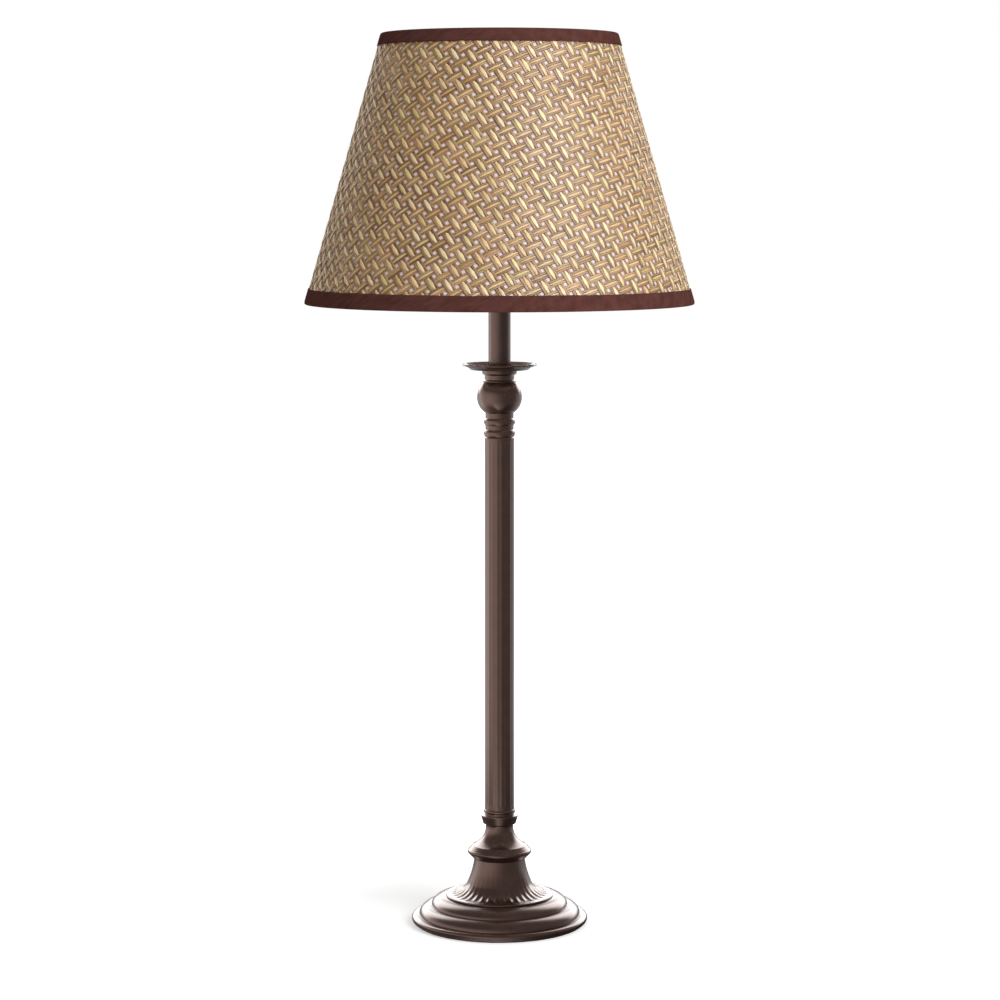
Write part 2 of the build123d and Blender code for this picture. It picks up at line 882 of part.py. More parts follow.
# Switch bar and its two buttons, shown switched off
with BuildPart() as switch_bar:
    with BuildSketch(Plane.YZ.offset(-bar_half_length - switch_half_travel)):
        with Locations((0, bar_level)):
            Circle(bar_radius)
    extrude(amount=2 * bar_half_length)
switch_bar.part.label = "switch_bar"
export_step(switch_bar.part, "parts/switch_bar.step")

button_outer = bar_half_length + button_shoulder
button_inner = button_outer - button_length

with BuildPart() as switch_buttons:
    for side in (-1, 1):
        with BuildSketch(Plane.XZ):
            with BuildLine():
                Polyline(
                    (side * button_inner - switch_half_travel, bar_level + bar_radius),
                    (side * button_inner - switch_half_travel, bar_level + button_radius),
                    (side * (button_outer - button_round) - switch_half_travel,
                     bar_level + button_radius),
                    (side * button_outer - switch_half_travel,
                     bar_level + button_radius - button_round),
                    (side * button_outer - switch_half_travel, bar_level),
                    (side * bar_half_length - switch_half_travel, bar_level),
                    (side * bar_half_length - switch_half_travel, bar_level + bar_radius),
                    close=True,
                )
            make_face()
        revolve(axis=Axis((0, 0, bar_level), (1, 0, 0)))
switch_buttons.part.label = "switch_buttons"
export_step(switch_buttons.part, "parts/switch_buttons.step")


# Bulb
bulb_base = contact_level + seat_gap
bulb_insulator_base = bulb_base + bulb_contact_height
bulb_cap_base = bulb_insulator_base + bulb_insulator_height
bulb_cap_top = bulb_cap_base + bulb_cap_height

with BuildPart() as bulb_contact:
    with BuildSketch(Plane.XY.offset(bulb_base)):
        Circle(bulb_contact_radius)
    extrude(amount=bulb_contact_height)
    fillet(bulb_contact.edges().sort_by(Axis.Z)[0], radius=bulb_contact_height / 3)
bulb_contact.part.label = "bulb_contact"
export_step(bulb_contact.part, "parts/bulb_contact.step")

with BuildPart() as bulb_insulator:
    with BuildSketch(Plane.XZ):
        with BuildLine():
            Polyline(
                (0, bulb_insulator_base),
                (bulb_contact_radius + bulb_cap_chamfer, bulb_insulator_base),
                (bulb_insulator_radius, bulb_cap_base),
                (0, bulb_cap_base),
                close=True,
            )
        make_face()
    revolve(axis=Axis.Z)
bulb_insulator.part.label = "bulb_insulator"
export_step(bulb_insulator.part, "parts/bulb_insulator.step")

with BuildPart() as bulb_cap:
    with BuildSketch(Plane.XZ):
        with BuildLine():
            Polyline(
                (0, bulb_cap_base),
                (bulb_cap_radius - bulb_cap_chamfer, bulb_cap_base),
                (bulb_cap_radius, bulb_cap_base + bulb_cap_chamfer),
                (bulb_cap_radius, bulb_cap_top - bulb_cap_chamfer),
                (bulb_neck_radius, bulb_cap_top),
                (0, bulb_cap_top),
                close=True,
            )
        make_face()
    revolve(axis=Axis.Z)
bulb_cap.part.label = "bulb_cap"
export_step(bulb_cap.part, "parts/bulb_cap.step")

belly_level = bulb_cap_top + bulb_belly_rise
tip_level = bulb_cap_top + bulb_glass_height

with BuildPart() as bulb_glass:
    for wall in (0, bulb_glass_wall):
        with BuildSketch(Plane.XZ):
            with BuildLine():
                belly = (bulb_radius - wall, belly_level)
                upright_arc(belly, (bulb_neck_radius - wall, bulb_cap_top))
                upright_arc(belly, (bulb_tip_radius, tip_level - wall))
                Polyline(
                    (bulb_tip_radius, tip_level - wall),
                    (0, tip_level - wall),
                    (0, bulb_cap_top),
                    (bulb_neck_radius - wall, bulb_cap_top),
                )
            make_face()
        revolve(axis=Axis.Z, mode=Mode.SUBTRACT if wall else Mode.ADD)
bulb_glass.part.label = "bulb_glass"
export_step(bulb_glass.part, "parts/bulb_glass.step")


# Shade: weave and backing are two cones that lie one inside the other
shade_base = seat_level + seat_gap - shade_drop
shade_top = shade_base + shade_height
lining_thickness = weave_thickness + backing_thickness


def cone_band(low, high, outer_offset, inner_offset):
    """Corners of a section of the cone, offsets counted out from the weave's outer face."""
    return [
        (cone_radius(low) + inner_offset, shade_base + low),
        (cone_radius(low) + outer_offset, shade_base + low),
        (cone_radius(high) + outer_offset, shade_base + high),
        (cone_radius(high) + inner_offset, shade_base + high),
    ]


with BuildPart() as shade_weave:
    with BuildSketch(Plane.XZ):
        with BuildLine():
            Polyline(*cone_band(0, shade_height, 0, -weave_thickness), close=True)
        make_face()
    revolve(axis=Axis.Z)
shade_weave.part.label = "shade_weave"
export_step(shade_weave.part, "parts/shade_weave.step")

with BuildPart() as shade_backing:
    with BuildSketch(Plane.XZ):
        with BuildLine():
            Polyline(
                *cone_band(0, shade_height, -weave_thickness, -lining_thickness), close=True
            )
        make_face()
    revolve(axis=Axis.Z)
shade_backing.part.label = "shade_backing"
export_step(shade_backing.part, "parts/shade_backing.step")

# Ring wires and gimbal
wire_setback = lining_thickness + wire_gap + wire_radius
wire_inset = wire_gap + wire_radius
bottom_wire_radius = cone_radius(wire_inset) - wire_setback
top_wire_radius = cone_radius(shade_height - wire_inset) - wire_setback
bottom_wire_level = shade_base + wire_inset
top_wire_level = shade_top - wire_inset

with BuildPart() as bottom_wire:
    with BuildSketch(Plane.XZ):
        with Locations((bottom_wire_radius, bottom_wire_level)):
            Circle(wire_radius)
    revolve(axis=Axis.Z)
bottom_wire.part.label = "bottom_wire"
export_step(bottom_wire.part, "parts/bottom_wire.step")

plate_bore_radius = holder_radius + free_gap
plate_base = seat_level + seat_gap
plate_middle = plate_base + gimbal_plate_thickness / 2
plate_radius = plate_bore_radius + gimbal_plate_width
arm_foot_radius = plate_radius - gimbal_arm_inset
arm_run = top_wire_radius - arm_foot_radius
arm_rise = top_wire_level - plate_middle
arm_length = hypot(arm_run, arm_rise)


def arm_plane(index):
    """Plane at the foot of one gimbal arm, square to the arm."""
    turn = radians(gimbal_first_angle + index * 360 / gimbal_arm_count)
    foot = (arm_foot_radius * cos(turn), arm_foot_radius * sin(turn), plate_middle)
    return Plane(origin=foot, z_dir=(arm_run * cos(turn), arm_run * sin(turn), arm_rise))


with BuildPart() as top_wire:
    with BuildSketch(Plane.XZ):
        with Locations((top_wire_radius, top_wire_level)):
            Circle(wire_radius)
    revolve(axis=Axis.Z)
top_wire.part.label = "top_wire"
export_step(top_wire.part, "parts/top_wire.step")

with BuildPart() as gimbal_plate:
    with BuildSketch(Plane.XY.offset(plate_base)):
        Circle(plate_radius)
        Circle(plate_bore_radius, mode=Mode.SUBTRACT)
    extrude(amount=gimbal_plate_thickness)
gimbal_plate.part.label = "gimbal_plate"
export_step(gimbal_plate.part, "parts/gimbal_plate.step")

with BuildPart() as gimbal_arms:
    for index in range(gimbal_arm_count):
        with BuildSketch(arm_plane(index)):
            Circle(wire_radius)
        extrude(amount=arm_length)
    add(top_wire.part, mode=Mode.SUBTRACT)
    add(gimbal_plate.part, mode=Mode.SUBTRACT)
gimbal_arms.part.label = "gimbal_arms"
export_step(gimbal_arms.part, "parts/gimbal_arms.step")

# Tape trims, folded over the edges and round the ring wires
fold_offset = -(lining_thickness + 2 * wire_gap + 2 * wire_radius)


def trim_bands(edge, outer_end, inner_end, over_edge):
    """Sections of the folded tape: its outer leg, its inner leg and the fold between them."""
    inner_face = fold_offset - trim_thickness
    low, high = min(edge, edge + over_edge), max(edge, edge + over_edge)
    return [
        cone_band(min(edge, outer_end), max(edge, outer_end), trim_thickness, glue_gap),
        cone_band(min(edge, inner_end), max(edge, inner_end), fold_offset, inner_face),
        cone_band(low, high, trim_thickness, inner_face),
    ]


top_trim_bands = trim_bands(
    shade_height, shade_height - trim_height, shade_height - trim_inner_height, trim_thickness
)
bottom_trim_bands = trim_bands(0, trim_height, trim_inner_height, -trim_thickness)

with BuildPart() as top_trim:
    with BuildSketch(Plane.XZ):
        for band in top_trim_bands:
            with BuildLine():
                Polyline(*band, close=True)
            make_face()
    revolve(axis=Axis.Z)
    for index in range(gimbal_arm_count):
        with BuildSketch(arm_plane(index)):
            Circle(wire_radius + wire_gap)
        extrude(amount=arm_length, mode=Mode.SUBTRACT)
top_trim.part.label = "top_trim"
export_step(top_trim.part, "parts/top_trim.step")

with BuildPart() as bottom_trim:
    with BuildSketch(Plane.XZ):
        for band in bottom_trim_bands:
            with BuildLine():
                Polyline(*band, close=True)
            make_face()
    revolve(axis=Axis.Z)
bottom_trim.part.label = "bottom_trim"
export_step(bottom_trim.part, "parts/bottom_trim.step")


# Retaining ring, screwed down on the gimbal's plate
ring_base = plate_base + gimbal_plate_thickness + seat_gap
ring_radius = plate_bore_radius + ring_width

with BuildPart() as retaining_ring:
    with BuildSketch(Plane.XY.offset(ring_base)):
        with BuildLine():
            scalloped_ring(ring_radius, ring_grips, ring_grip_depth)
        make_face()
        Circle(plate_bore_radius, mode=Mode.SUBTRACT)
    extrude(amount=ring_height)
retaining_ring.part.label = "retaining_ring"
export_step(retaining_ring.part, "parts/retaining_ring.step")


print("lamp height", round(shade_top + trim_thickness, 2))
print("lower edge of the shade", round(shade_base, 2))
print("gimbal arm slope", round(degrees(atan2(arm_rise, arm_run)), 1))
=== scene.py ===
"""Table lamp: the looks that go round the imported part, in metres, in the part's own frame."""
import logging
import math
import random
from dataclasses import dataclass
from enum import Enum
from typing import Callable, Iterable, Sequence, Union

import bmesh
import bpy
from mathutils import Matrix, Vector


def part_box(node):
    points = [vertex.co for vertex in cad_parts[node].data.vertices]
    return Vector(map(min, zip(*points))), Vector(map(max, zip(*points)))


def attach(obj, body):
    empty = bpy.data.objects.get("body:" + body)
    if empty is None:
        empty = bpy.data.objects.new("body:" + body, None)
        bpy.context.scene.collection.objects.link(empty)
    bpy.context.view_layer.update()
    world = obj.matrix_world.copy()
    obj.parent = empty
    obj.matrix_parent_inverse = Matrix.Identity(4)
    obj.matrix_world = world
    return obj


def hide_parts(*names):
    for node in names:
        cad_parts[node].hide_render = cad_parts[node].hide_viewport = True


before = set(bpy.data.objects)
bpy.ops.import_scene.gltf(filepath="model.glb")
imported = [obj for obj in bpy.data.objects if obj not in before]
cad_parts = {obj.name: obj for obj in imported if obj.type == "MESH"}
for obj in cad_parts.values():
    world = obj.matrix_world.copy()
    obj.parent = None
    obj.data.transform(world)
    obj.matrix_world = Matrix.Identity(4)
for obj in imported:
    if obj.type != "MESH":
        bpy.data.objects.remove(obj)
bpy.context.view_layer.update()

MM = 0.001
SEED = 11
MERGE_DISTANCE = 0.001 * MM
FLUTE_ROUNDNESS = 1.4
GRAIN_RATIO = 14.0
STREAK_RATE = 0.16
RING_RATE = 3.0
DUST_RATE = 0.35
log = logging.getLogger("lamp")

Number = Union[int, float]
Colour = tuple[float, float, float]
Span = tuple[float, float]

DUST_FACING: Span = (0.55, 1.0)
DUST_PATCHES: Span = (0.35, 0.75)


class Body(Enum):
    """Bodies of the lamp that new pieces move with."""

    STAND = "root"
    SHADE = "shade"


class Slot(Enum):
    """Material slots of the record, passed with each new piece but not read."""

    BRONZE = "bronze"
    FELT = "felt"
    WEAVE = "weave"
    TAPE = "tape"


@dataclass(frozen=True)
class Field:
    """A number that changes over a surface, with the usual sums on it."""

    graph: "Graph"
    socket: bpy.types.NodeSocket

    def sum_of(self, operation: str, *others: Union["Field", Number]) -> "Field":
        """Add one math node.

        Args:
            operation: Name of the math node's operation.
            others: Second and third inputs, as fields or numbers.

        Returns:
            The node's result.
        """
        node = self.graph.add("ShaderNodeMath", operation=operation)
        for socket, value in zip(node.inputs, (self, *others)):
            self.graph.feed(socket, value)
        return self.graph.out(node)

    def __add__(self, other: Union["Field", Number]) -> "Field":
        """Sum."""
        return self.sum_of("ADD", other)

    def __sub__(self, other: Union["Field", Number]) -> "Field":
        """Difference."""
        return self.sum_of("SUBTRACT", other)

    def __mul__(self, other: Union["Field", Number]) -> "Field":
        """Product."""
        return self.sum_of("MULTIPLY", other)

    def __truediv__(self, other: Union["Field", Number]) -> "Field":
        """Quotient."""
        return self.sum_of("DIVIDE", other)

    def __neg__(self) -> "Field":
        """Negative value."""
        return self.sum_of("MULTIPLY", -1.0)

    def remainder(self) -> "Field":
        """What is missing to 1."""
        return self * -1.0 + 1.0

    def sine(self) -> "Field":
        """Sine of an angle in radians."""
        return self.sum_of("SINE")

    def cosine(self) -> "Field":
        """Cosine of an angle in radians."""
        return self.sum_of("COSINE")

    def size(self) -> "Field":
        """Value without its sign."""
        return self.sum_of("ABSOLUTE")

    def between(self, low: Union["Field", Number], high: Union["Field", Number]) -> "Field":
        """Value held between two limits."""
        return self.sum_of("MAXIMUM", low).sum_of("MINIMUM", high)

    def smooth_step(self, low: Number, high: Number) -> "Field":
        """Soft step.

        Args:
            low: Value at which the step starts, from 0.
            high: Value at which it ends, at 1.

        Returns:
            The step's height.
        """
        node = self.graph.add(
            "ShaderNodeMapRange", interpolation_type="SMOOTHSTEP",
            inputs={"Value": self, "From Min": low, "From Max": high},
        )
        return self.graph.out(node, "Result")


class Graph:
    """A node tree, with short ways to add to it."""

    def __init__(self, tree: bpy.types.NodeTree) -> None:
        """Keep the tree."""
        self.tree = tree

    def feed(self, socket: bpy.types.NodeSocket, value: object) -> None:
        """Give an input its value.

        Args:
            socket: The input.
            value: A field, a socket or a plain value.
        """
        if isinstance(value, Field):
            value = value.socket
        if isinstance(value, bpy.types.NodeSocket):
            self.tree.links.new(value, socket)
        else:
            socket.default_value = value

    def add(self, kind: str, inputs: Union[dict, None] = None, **settings: object) -> bpy.types.Node:
        """Add a node.

        Args:
            kind: The node's type name.
            inputs: Values of its inputs, by name or number.
            settings: Its own settings.

        Returns:
            The new node.
        """
        node = self.tree.nodes.new(kind)
        for name, value in settings.items():
            setattr(node, name, value)
        for name, value in (inputs or {}).items():
            self.feed(node.inputs[name], value)
        return node

    def out(self, node: bpy.types.Node, name: Union[str, int] = 0) -> Field:
        """One output of a node, as a field."""
        return Field(self, node.outputs[name])

    def split(self, vector: object) -> tuple[Field, Field, Field]:
        """The three parts of a vector."""
        node = self.add("ShaderNodeSeparateXYZ", {"Vector": vector})
        return self.out(node, 0), self.out(node, 1), self.out(node, 2)

    def join(self, x: object, y: object, z: object) -> bpy.types.NodeSocket:
        """A vector of three parts."""
        return self.add("ShaderNodeCombineXYZ", {"X": x, "Y": y, "Z": z}).outputs[0]


class GeometryTree(Graph):
    """A Geometry Nodes tree with named inputs, run on an empty mesh and kept as a plain one."""

    def __init__(self, name: str, sizes: dict[str, object]) -> None:
        """Make the tree and its inputs.

        Args:
            name: Name of the tree.
            sizes: Its inputs' names with their values: ints, floats, vectors or a material.
        """
        super().__init__(bpy.data.node_groups.new(name, "GeometryNodeTree"))
        kinds = {int: "NodeSocketInt", float: "NodeSocketFloat", tuple: "NodeSocketVector"}
        self.sizes = sizes
        self.tree.interface.new_socket(name="Geometry", in_out="OUTPUT", socket_type="NodeSocketGeometry")
        for size_name, value in sizes.items():
            kind = kinds.get(type(value), "NodeSocketMaterial")
            self.tree.interface.new_socket(name=size_name, in_out="INPUT", socket_type=kind)
        self.given = self.add("NodeGroupInput")

    def size_of(self, name: str) -> Field:
        """A named input, as a field."""
        return self.out(self.given, name)

    def place(self) -> tuple[Field, Field, Field]:
        """The position of each point."""
        return self.split(self.add("GeometryNodeInputPosition").outputs[0])

    def tube(self, sides: str, rings: str, radius: object, depth: object) -> bpy.types.NodeSocket:
        """A closed upright tube about the origin.

        Args:
            sides: Name of the input with the number of sides.
            rings: Name of the input with the number of rings.
            radius: Radius.
            depth: Height.

        Returns:
            Its mesh.
        """
        sizes = {
            "Vertices": self.size_of(sides), "Side Segments": self.size_of(rings),
            "Radius": radius, "Depth": depth,
        }
        return self.add("GeometryNodeMeshCylinder", sizes, fill_type="NGON").outputs["Mesh"]

    def move(self, geometry: object, *place: Field) -> bpy.types.NodeSocket:
        """A geometry with its points put at the place that three fields give."""
        node = self.add("GeometryNodeSetPosition", {"Geometry": geometry, "Position": self.join(*place)})
        return node.outputs[0]

    def store(self, geometry: object, name: str, *parts: Field) -> bpy.types.NodeSocket:
        """Keep a vector with each point.

        Args:
            geometry: The geometry.
            name: Name of the attribute.
            parts: The vector's three parts.

        Returns:
            The geometry with the attribute.
        """
        node = self.add(
            "GeometryNodeStoreNamedAttribute", data_type="FLOAT_VECTOR", domain="POINT",
            inputs={"Geometry": geometry, "Name": name, "Value": self.join(*parts)},
        )
        return node.outputs[0]

    def finish(self, geometry: bpy.types.NodeSocket) -> None:
        """End the tree: smooth shading, real instances, then the material.

        Args:
            geometry: The finished shape.
        """
        smooth = self.add("GeometryNodeSetShadeSmooth", {"Geometry": geometry})
        real = self.add("GeometryNodeRealizeInstances", {"Geometry": smooth.outputs[0]})
        dressed = self.add(
            "GeometryNodeSetMaterial",
            {"Geometry": real.outputs[0], "Material": self.given.outputs["Material"]},
        )
        end = self.add("NodeGroupOutput")
        self.tree.links.new(dressed.outputs[0], end.inputs[0])

    def make(self, name: str) -> bpy.types.Object:
        """Run the tree.

        Args:
            name: Name of the piece.

        Returns:
            A plain mesh object with the tree's result.
        """
        carrier = bpy.data.objects.new(name + "_nodes", bpy.data.meshes.new(name + "_nodes"))
        bpy.context.scene.collection.objects.link(carrier)
        modifier = carrier.modifiers.new("shape", "NODES")
        modifier.node_group = self.tree
        for item in self.tree.interface.items_tree:
            if item.in_out == "INPUT":
                modifier[item.identifier] = self.sizes[item.name]
        graph = bpy.context.evaluated_depsgraph_get()
        mesh = bpy.data.meshes.new_from_object(carrier.evaluated_get(graph), depsgraph=graph)
        mesh.name = name
        carrier.modifiers.clear()
        bpy.data.objects.remove(carrier)
        piece = bpy.data.objects.new(name, mesh)
        bpy.context.scene.collection.objects.link(piece)
        return piece


def linear(red: Number, green: Number, blue: Number) -> tuple[float, float, float, float]:
    """Colour for a node from the eight-bit values that a screen shows.

    Args:
        red: Red, 0 to 255.
        green: Green, 0 to 255.
        blue: Blue, 0 to 255.

    Returns:
        Linear red, green, blue and an alpha of 1.
    """
    shares = (channel / 255 for channel in (red, green, blue))
    values = [s / 12.92 if s <= 0.04045 else ((s + 0.055) / 1.055) ** 2.4 for s in shares]
    return values[0], values[1], values[2], 1.0


class ShaderGroup:
    """A shader node group that is built once and placed in each material that needs it."""

    built: dict[str, bpy.types.NodeTree] = {}

    @classmethod
    def place(
        cls, graph: Graph, name: str, inputs: dict[str, object], outputs: Sequence[str],
        fill: Callable[[Graph, dict[str, Field]], dict[str, Field]],
    ) -> dict[str, Field]:
        """Place the group in a material.

        Args:
            graph: The material's tree.
            name: Name of the group.
            inputs: Values of its inputs, by name; a vector input is called Position or Strip.
            outputs: Names of its outputs, all plain values.
            fill: Function that builds the group's inside from its inputs.

        Returns:
            The outputs, by name.
        """
        if name not in cls.built:
            tree = bpy.data.node_groups.new(name, "ShaderNodeTree")
            for label in inputs:
                kind = "NodeSocketVector" if label in ("Position", "Strip") else "NodeSocketFloat"
                tree.interface.new_socket(name=label, in_out="INPUT", socket_type=kind)
            for label in outputs:
                tree.interface.new_socket(name=label, in_out="OUTPUT", socket_type="NodeSocketFloat")
            inner = Graph(tree)
            given = inner.add("NodeGroupInput")
            results = fill(inner, {label: inner.out(given, label) for label in inputs})
            end = inner.add("NodeGroupOutput")
            for label in outputs:
                inner.feed(end.inputs[label], results[label])
            cls.built[name] = tree
        node = graph.add("ShaderNodeGroup", node_tree=cls.built[name])
        for label, value in inputs.items():
            graph.feed(node.inputs[label], value)
        return {label: graph.out(node, label) for label in outputs}


def noise(graph: Graph, position: object, scale: object, detail: Number = 3.0) -> Field:
    """Noise from 0 to 1.

    Args:
        graph: Tree that it goes in.
        position: Vector that it is read at.
        scale: Features to one unit of the position.
        detail: Number of finer layers.

    Returns:
        The noise's value.
    """
    node = graph.add("ShaderNodeTexNoise", {"Vector": position, "Scale": scale, "Detail": detail})
    return graph.out(node, "Fac" if "Fac" in node.outputs else 0)


def mottle(graph: Graph, position: object, scale: Number) -> dict[str, Field]:
    """Cloudy change of tone with fine grain in it, and a height for a bump.

    Args:
        graph: The material's tree.
        position: Position in millimetres.
        scale: Clouds to the millimetre.

    Returns:
        Fields called Tone, Grain and Height.
    """
    def fill(inner: Graph, given: dict[str, Field]) -> dict[str, Field]:
        """Inside of the group.

        Args:
            inner: The group's tree.
            given: Its inputs, by name.

        Returns:
            Its outputs, by name.
        """
        cloud = noise(inner, given["Position"], given["Scale"], 4.0)
        grain = noise(inner, given["Position"], given["Scale"] * GRAIN_RATIO, 2.0)
        return {"Tone": cloud, "Grain": grain, "Height": cloud * 0.6 + grain * 0.4}

    return ShaderGroup.place(
        graph, "mottle", {"Position": position, "Scale": scale}, ("Tone", "Grain", "Height"), fill
    )


def fibre(graph: Graph, strip: object, pitch: Number, twist: Number) -> dict[str, Field]:
    """Fibres along a strip, straight or twisted.

    Args:
        graph: The material's tree.
        strip: Place on the strip: along, across, and the strip's own number, in millimetres.
        pitch: Width of a fibre.
        twist: How far the fibres lean, across for each millimetre along.

    Returns:
        Fields called Tone and Height.
    """
    def fill(inner: Graph, given: dict[str, Field]) -> dict[str, Field]:
        """Inside of the group.

        Args:
            inner: The group's tree.
            given: Its inputs, by name.

        Returns:
            Its outputs, by name.
        """
        along, across, number = inner.split(given["Strip"])
        lean = (across + along * given["Twist"]) / given["Pitch"]
        line = noise(inner, inner.join(along * STREAK_RATE, lean, number), 1.0)
        cord = (lean * (2 * math.pi)).cosine() * 0.5 + 0.5
        return {"Tone": line, "Height": cord * 0.5 + line * 0.7}

    return ShaderGroup.place(
        graph, "fibre", {"Strip": strip, "Pitch": pitch, "Twist": twist}, ("Tone", "Height"), fill
    )


def turning(graph: Graph, position: object) -> dict[str, Field]:
    """Faint rings that a lathe leaves, in lacquer over them.

    Args:
        graph: The material's tree.
        position: Position in millimetres.

    Returns:
        A field called Height.
    """
    def fill(inner: Graph, given: dict[str, Field]) -> dict[str, Field]:
        """Inside of the group.

        Args:
            inner: The group's tree.
            given: Its inputs, by name.

        Returns:
            Its outputs, by name.
        """
        east, north, level = inner.split(given["Position"])
        radius = (east * east + north * north).sum_of("SQRT")
        rings = noise(inner, inner.join(radius * RING_RATE, level * RING_RATE, 0.0), 1.0, 2.0)
        return {"Height": rings}

    return ShaderGroup.place(graph, "turning", {"Position": position}, ("Height",), fill)


def dust(graph: Graph, position: object, amount: Number) -> dict[str, Field]:
    """Thin dust on faces that look up.

    Args:
        graph: The material's tree.
        position: Position in millimetres.
        amount: Most that it covers, 0 to 1.

    Returns:
        A field called Mask.
    """
    def fill(inner: Graph, given: dict[str, Field]) -> dict[str, Field]:
        """Inside of the group.

        Args:
            inner: The group's tree.
            given: Its inputs, by name.

        Returns:
            Its outputs, by name.
        """
        normal = inner.add("ShaderNodeNewGeometry").outputs["Normal"]
        upward = inner.split(normal)[2].smooth_step(*DUST_FACING)
        patches = noise(inner, given["Position"], DUST_RATE, 5.0).smooth_step(*DUST_PATCHES)
        return {"Mask": upward * patches * given["Amount"]}

    return ShaderGroup.place(graph, "dust", {"Position": position, "Amount": amount}, ("Mask",), fill)


class MaterialGraph(Graph):
    """A material's tree, with its one Principled shader."""

    def __init__(self, material: bpy.types.Material) -> None:
        """Clear the tree, and add the shader and the output.

        Args:
            material: The new material.
        """
        material.use_nodes = True
        material.node_tree.nodes.clear()
        super().__init__(material.node_tree)
        self.shader = self.add("ShaderNodeBsdfPrincipled")
        self.add("ShaderNodeOutputMaterial", {"Surface": self.shader.outputs[0]})

    def surface(self, inputs: dict[str, object]) -> None:
        """Give inputs of the shader their values.

        Args:
            inputs: Fields, sockets or plain values, by the input's name.
        """
        for name, value in inputs.items():
            self.feed(self.shader.inputs[name], value)

    def millimetres(self) -> bpy.types.NodeSocket:
        """Object position in millimetres."""
        scale = {0: self.add("ShaderNodeTexCoord").outputs["Object"], 1: (1 / MM, 1 / MM, 1 / MM)}
        return self.add("ShaderNodeVectorMath", scale, operation="MULTIPLY").outputs[0]

    def attribute(self, name: str) -> bpy.types.NodeSocket:
        """A vector that the piece's mesh keeps at each point."""
        return self.add("ShaderNodeAttribute", attribute_name=name).outputs["Vector"]

    def tones(self, share: Field, *stops: tuple[float, Colour]) -> bpy.types.NodeSocket:
        """Colours along a ramp.

        Args:
            share: Place on the ramp, 0 to 1.
            stops: Places and eight-bit colours.

        Returns:
            The ramp's colour.
        """
        node = self.add("ShaderNodeValToRGB", {"Fac": share})
        ramp = node.color_ramp
        for index, (place, colour) in enumerate(stops):
            stop = ramp.elements[index] if index < len(ramp.elements) else ramp.elements.new(place)
            stop.position = place
            stop.color = linear(*colour)
        return node.outputs["Color"]

    def mixed(
        self, share: object, first: object, second: object, blend: str = "MIX"
    ) -> bpy.types.NodeSocket:
        """Two colours mixed.

        Args:
            share: Share of the second colour, 0 to 1.
            first: First colour.
            second: Second colour.
            blend: Blender's name for the way they mix.

        Returns:
            The mixed colour.
        """
        inputs = {0: share, 6: first, 7: second}
        return self.add("ShaderNodeMix", inputs, data_type="RGBA", blend_type=blend).outputs[2]

    def bump(self, height: Field, distance: float) -> None:
        """Bump the shader's normal by a height of 0 to 1, which stands up so many millimetres."""
        node = self.add("ShaderNodeBump", {"Strength": 1.0, "Distance": distance * MM, "Height": height})
        self.surface({"Normal": node.outputs["Normal"]})


@dataclass(frozen=True)
class Finish:
    """A finish: a material with one Principled shader, painted by the kind of finish."""

    name: str
    colour: Colour
    roughness: float = 0.5
    metallic: float = 0.0
    uneven: Span = (0.05, 0.05)

    def material(self) -> bpy.types.Material:
        """The material, built on its first use.

        Returns:
            The material.
        """
        known = bpy.data.materials.get(self.name)
        if known:
            return known
        made = bpy.data.materials.new(self.name)
        made.diffuse_color = linear(*self.colour)
        graph = MaterialGraph(made)
        graph.surface({
            "Base Color": linear(*self.colour), "Roughness": self.roughness, "Metallic": self.metallic,
        })
        self.paint(graph)
        return made

    def paint(self, graph: MaterialGraph) -> None:
        """Detail of the finish; each kind has its own."""

    def shade(self, factor: float) -> Colour:
        """The finish's colour made lighter or darker by a factor."""
        red, green, blue = (min(channel * factor, 255.0) for channel in self.colour)
        return red, green, blue

    def rough_by(self, height: Field) -> Field:
        """Roughness that goes below and above its usual value with a height of 0 to 1."""
        return height * sum(self.uneven) + (self.roughness - self.uneven[0])


@dataclass(frozen=True)
class Lacquer(Finish):
    """Dark brown bronze lacquer over turned and cast metal."""

    coat: float = 0.85
    coat_roughness: float = 0.17
    coat_ior: float = 1.7
    ring_height: float = 0.002
    dust_amount: float = 0.02
    dust_colour: Colour = (168, 152, 138)
    dust_roughness: float = 0.4
    cloud_rate: float = 0.09
    cloud_tones: Span = (0.93, 1.07)

    def paint(self, graph: MaterialGraph) -> None:
        """Cloudy brown, lathe rings, a clear coat and a little dust.

        Args:
            graph: The material's tree.
        """
        place = graph.millimetres()
        clouds = mottle(graph, place, self.cloud_rate)
        dusty = dust(graph, place, self.dust_amount)["Mask"]
        dark, light = (self.shade(tone) for tone in self.cloud_tones)
        brown = graph.tones(clouds["Tone"], (0.3, dark), (0.55, self.colour), (0.8, light))
        graph.surface({
            "Base Color": graph.mixed(dusty, brown, linear(*self.dust_colour)),
            "Roughness": self.rough_by(clouds["Height"]) + dusty * self.dust_roughness,
            "Coat Weight": self.coat, "Coat Roughness": self.coat_roughness, "Coat IOR": self.coat_ior,
        })
        graph.bump(turning(graph, place)["Height"] * 0.5 + clouds["Grain"] * 0.5, self.ring_height)


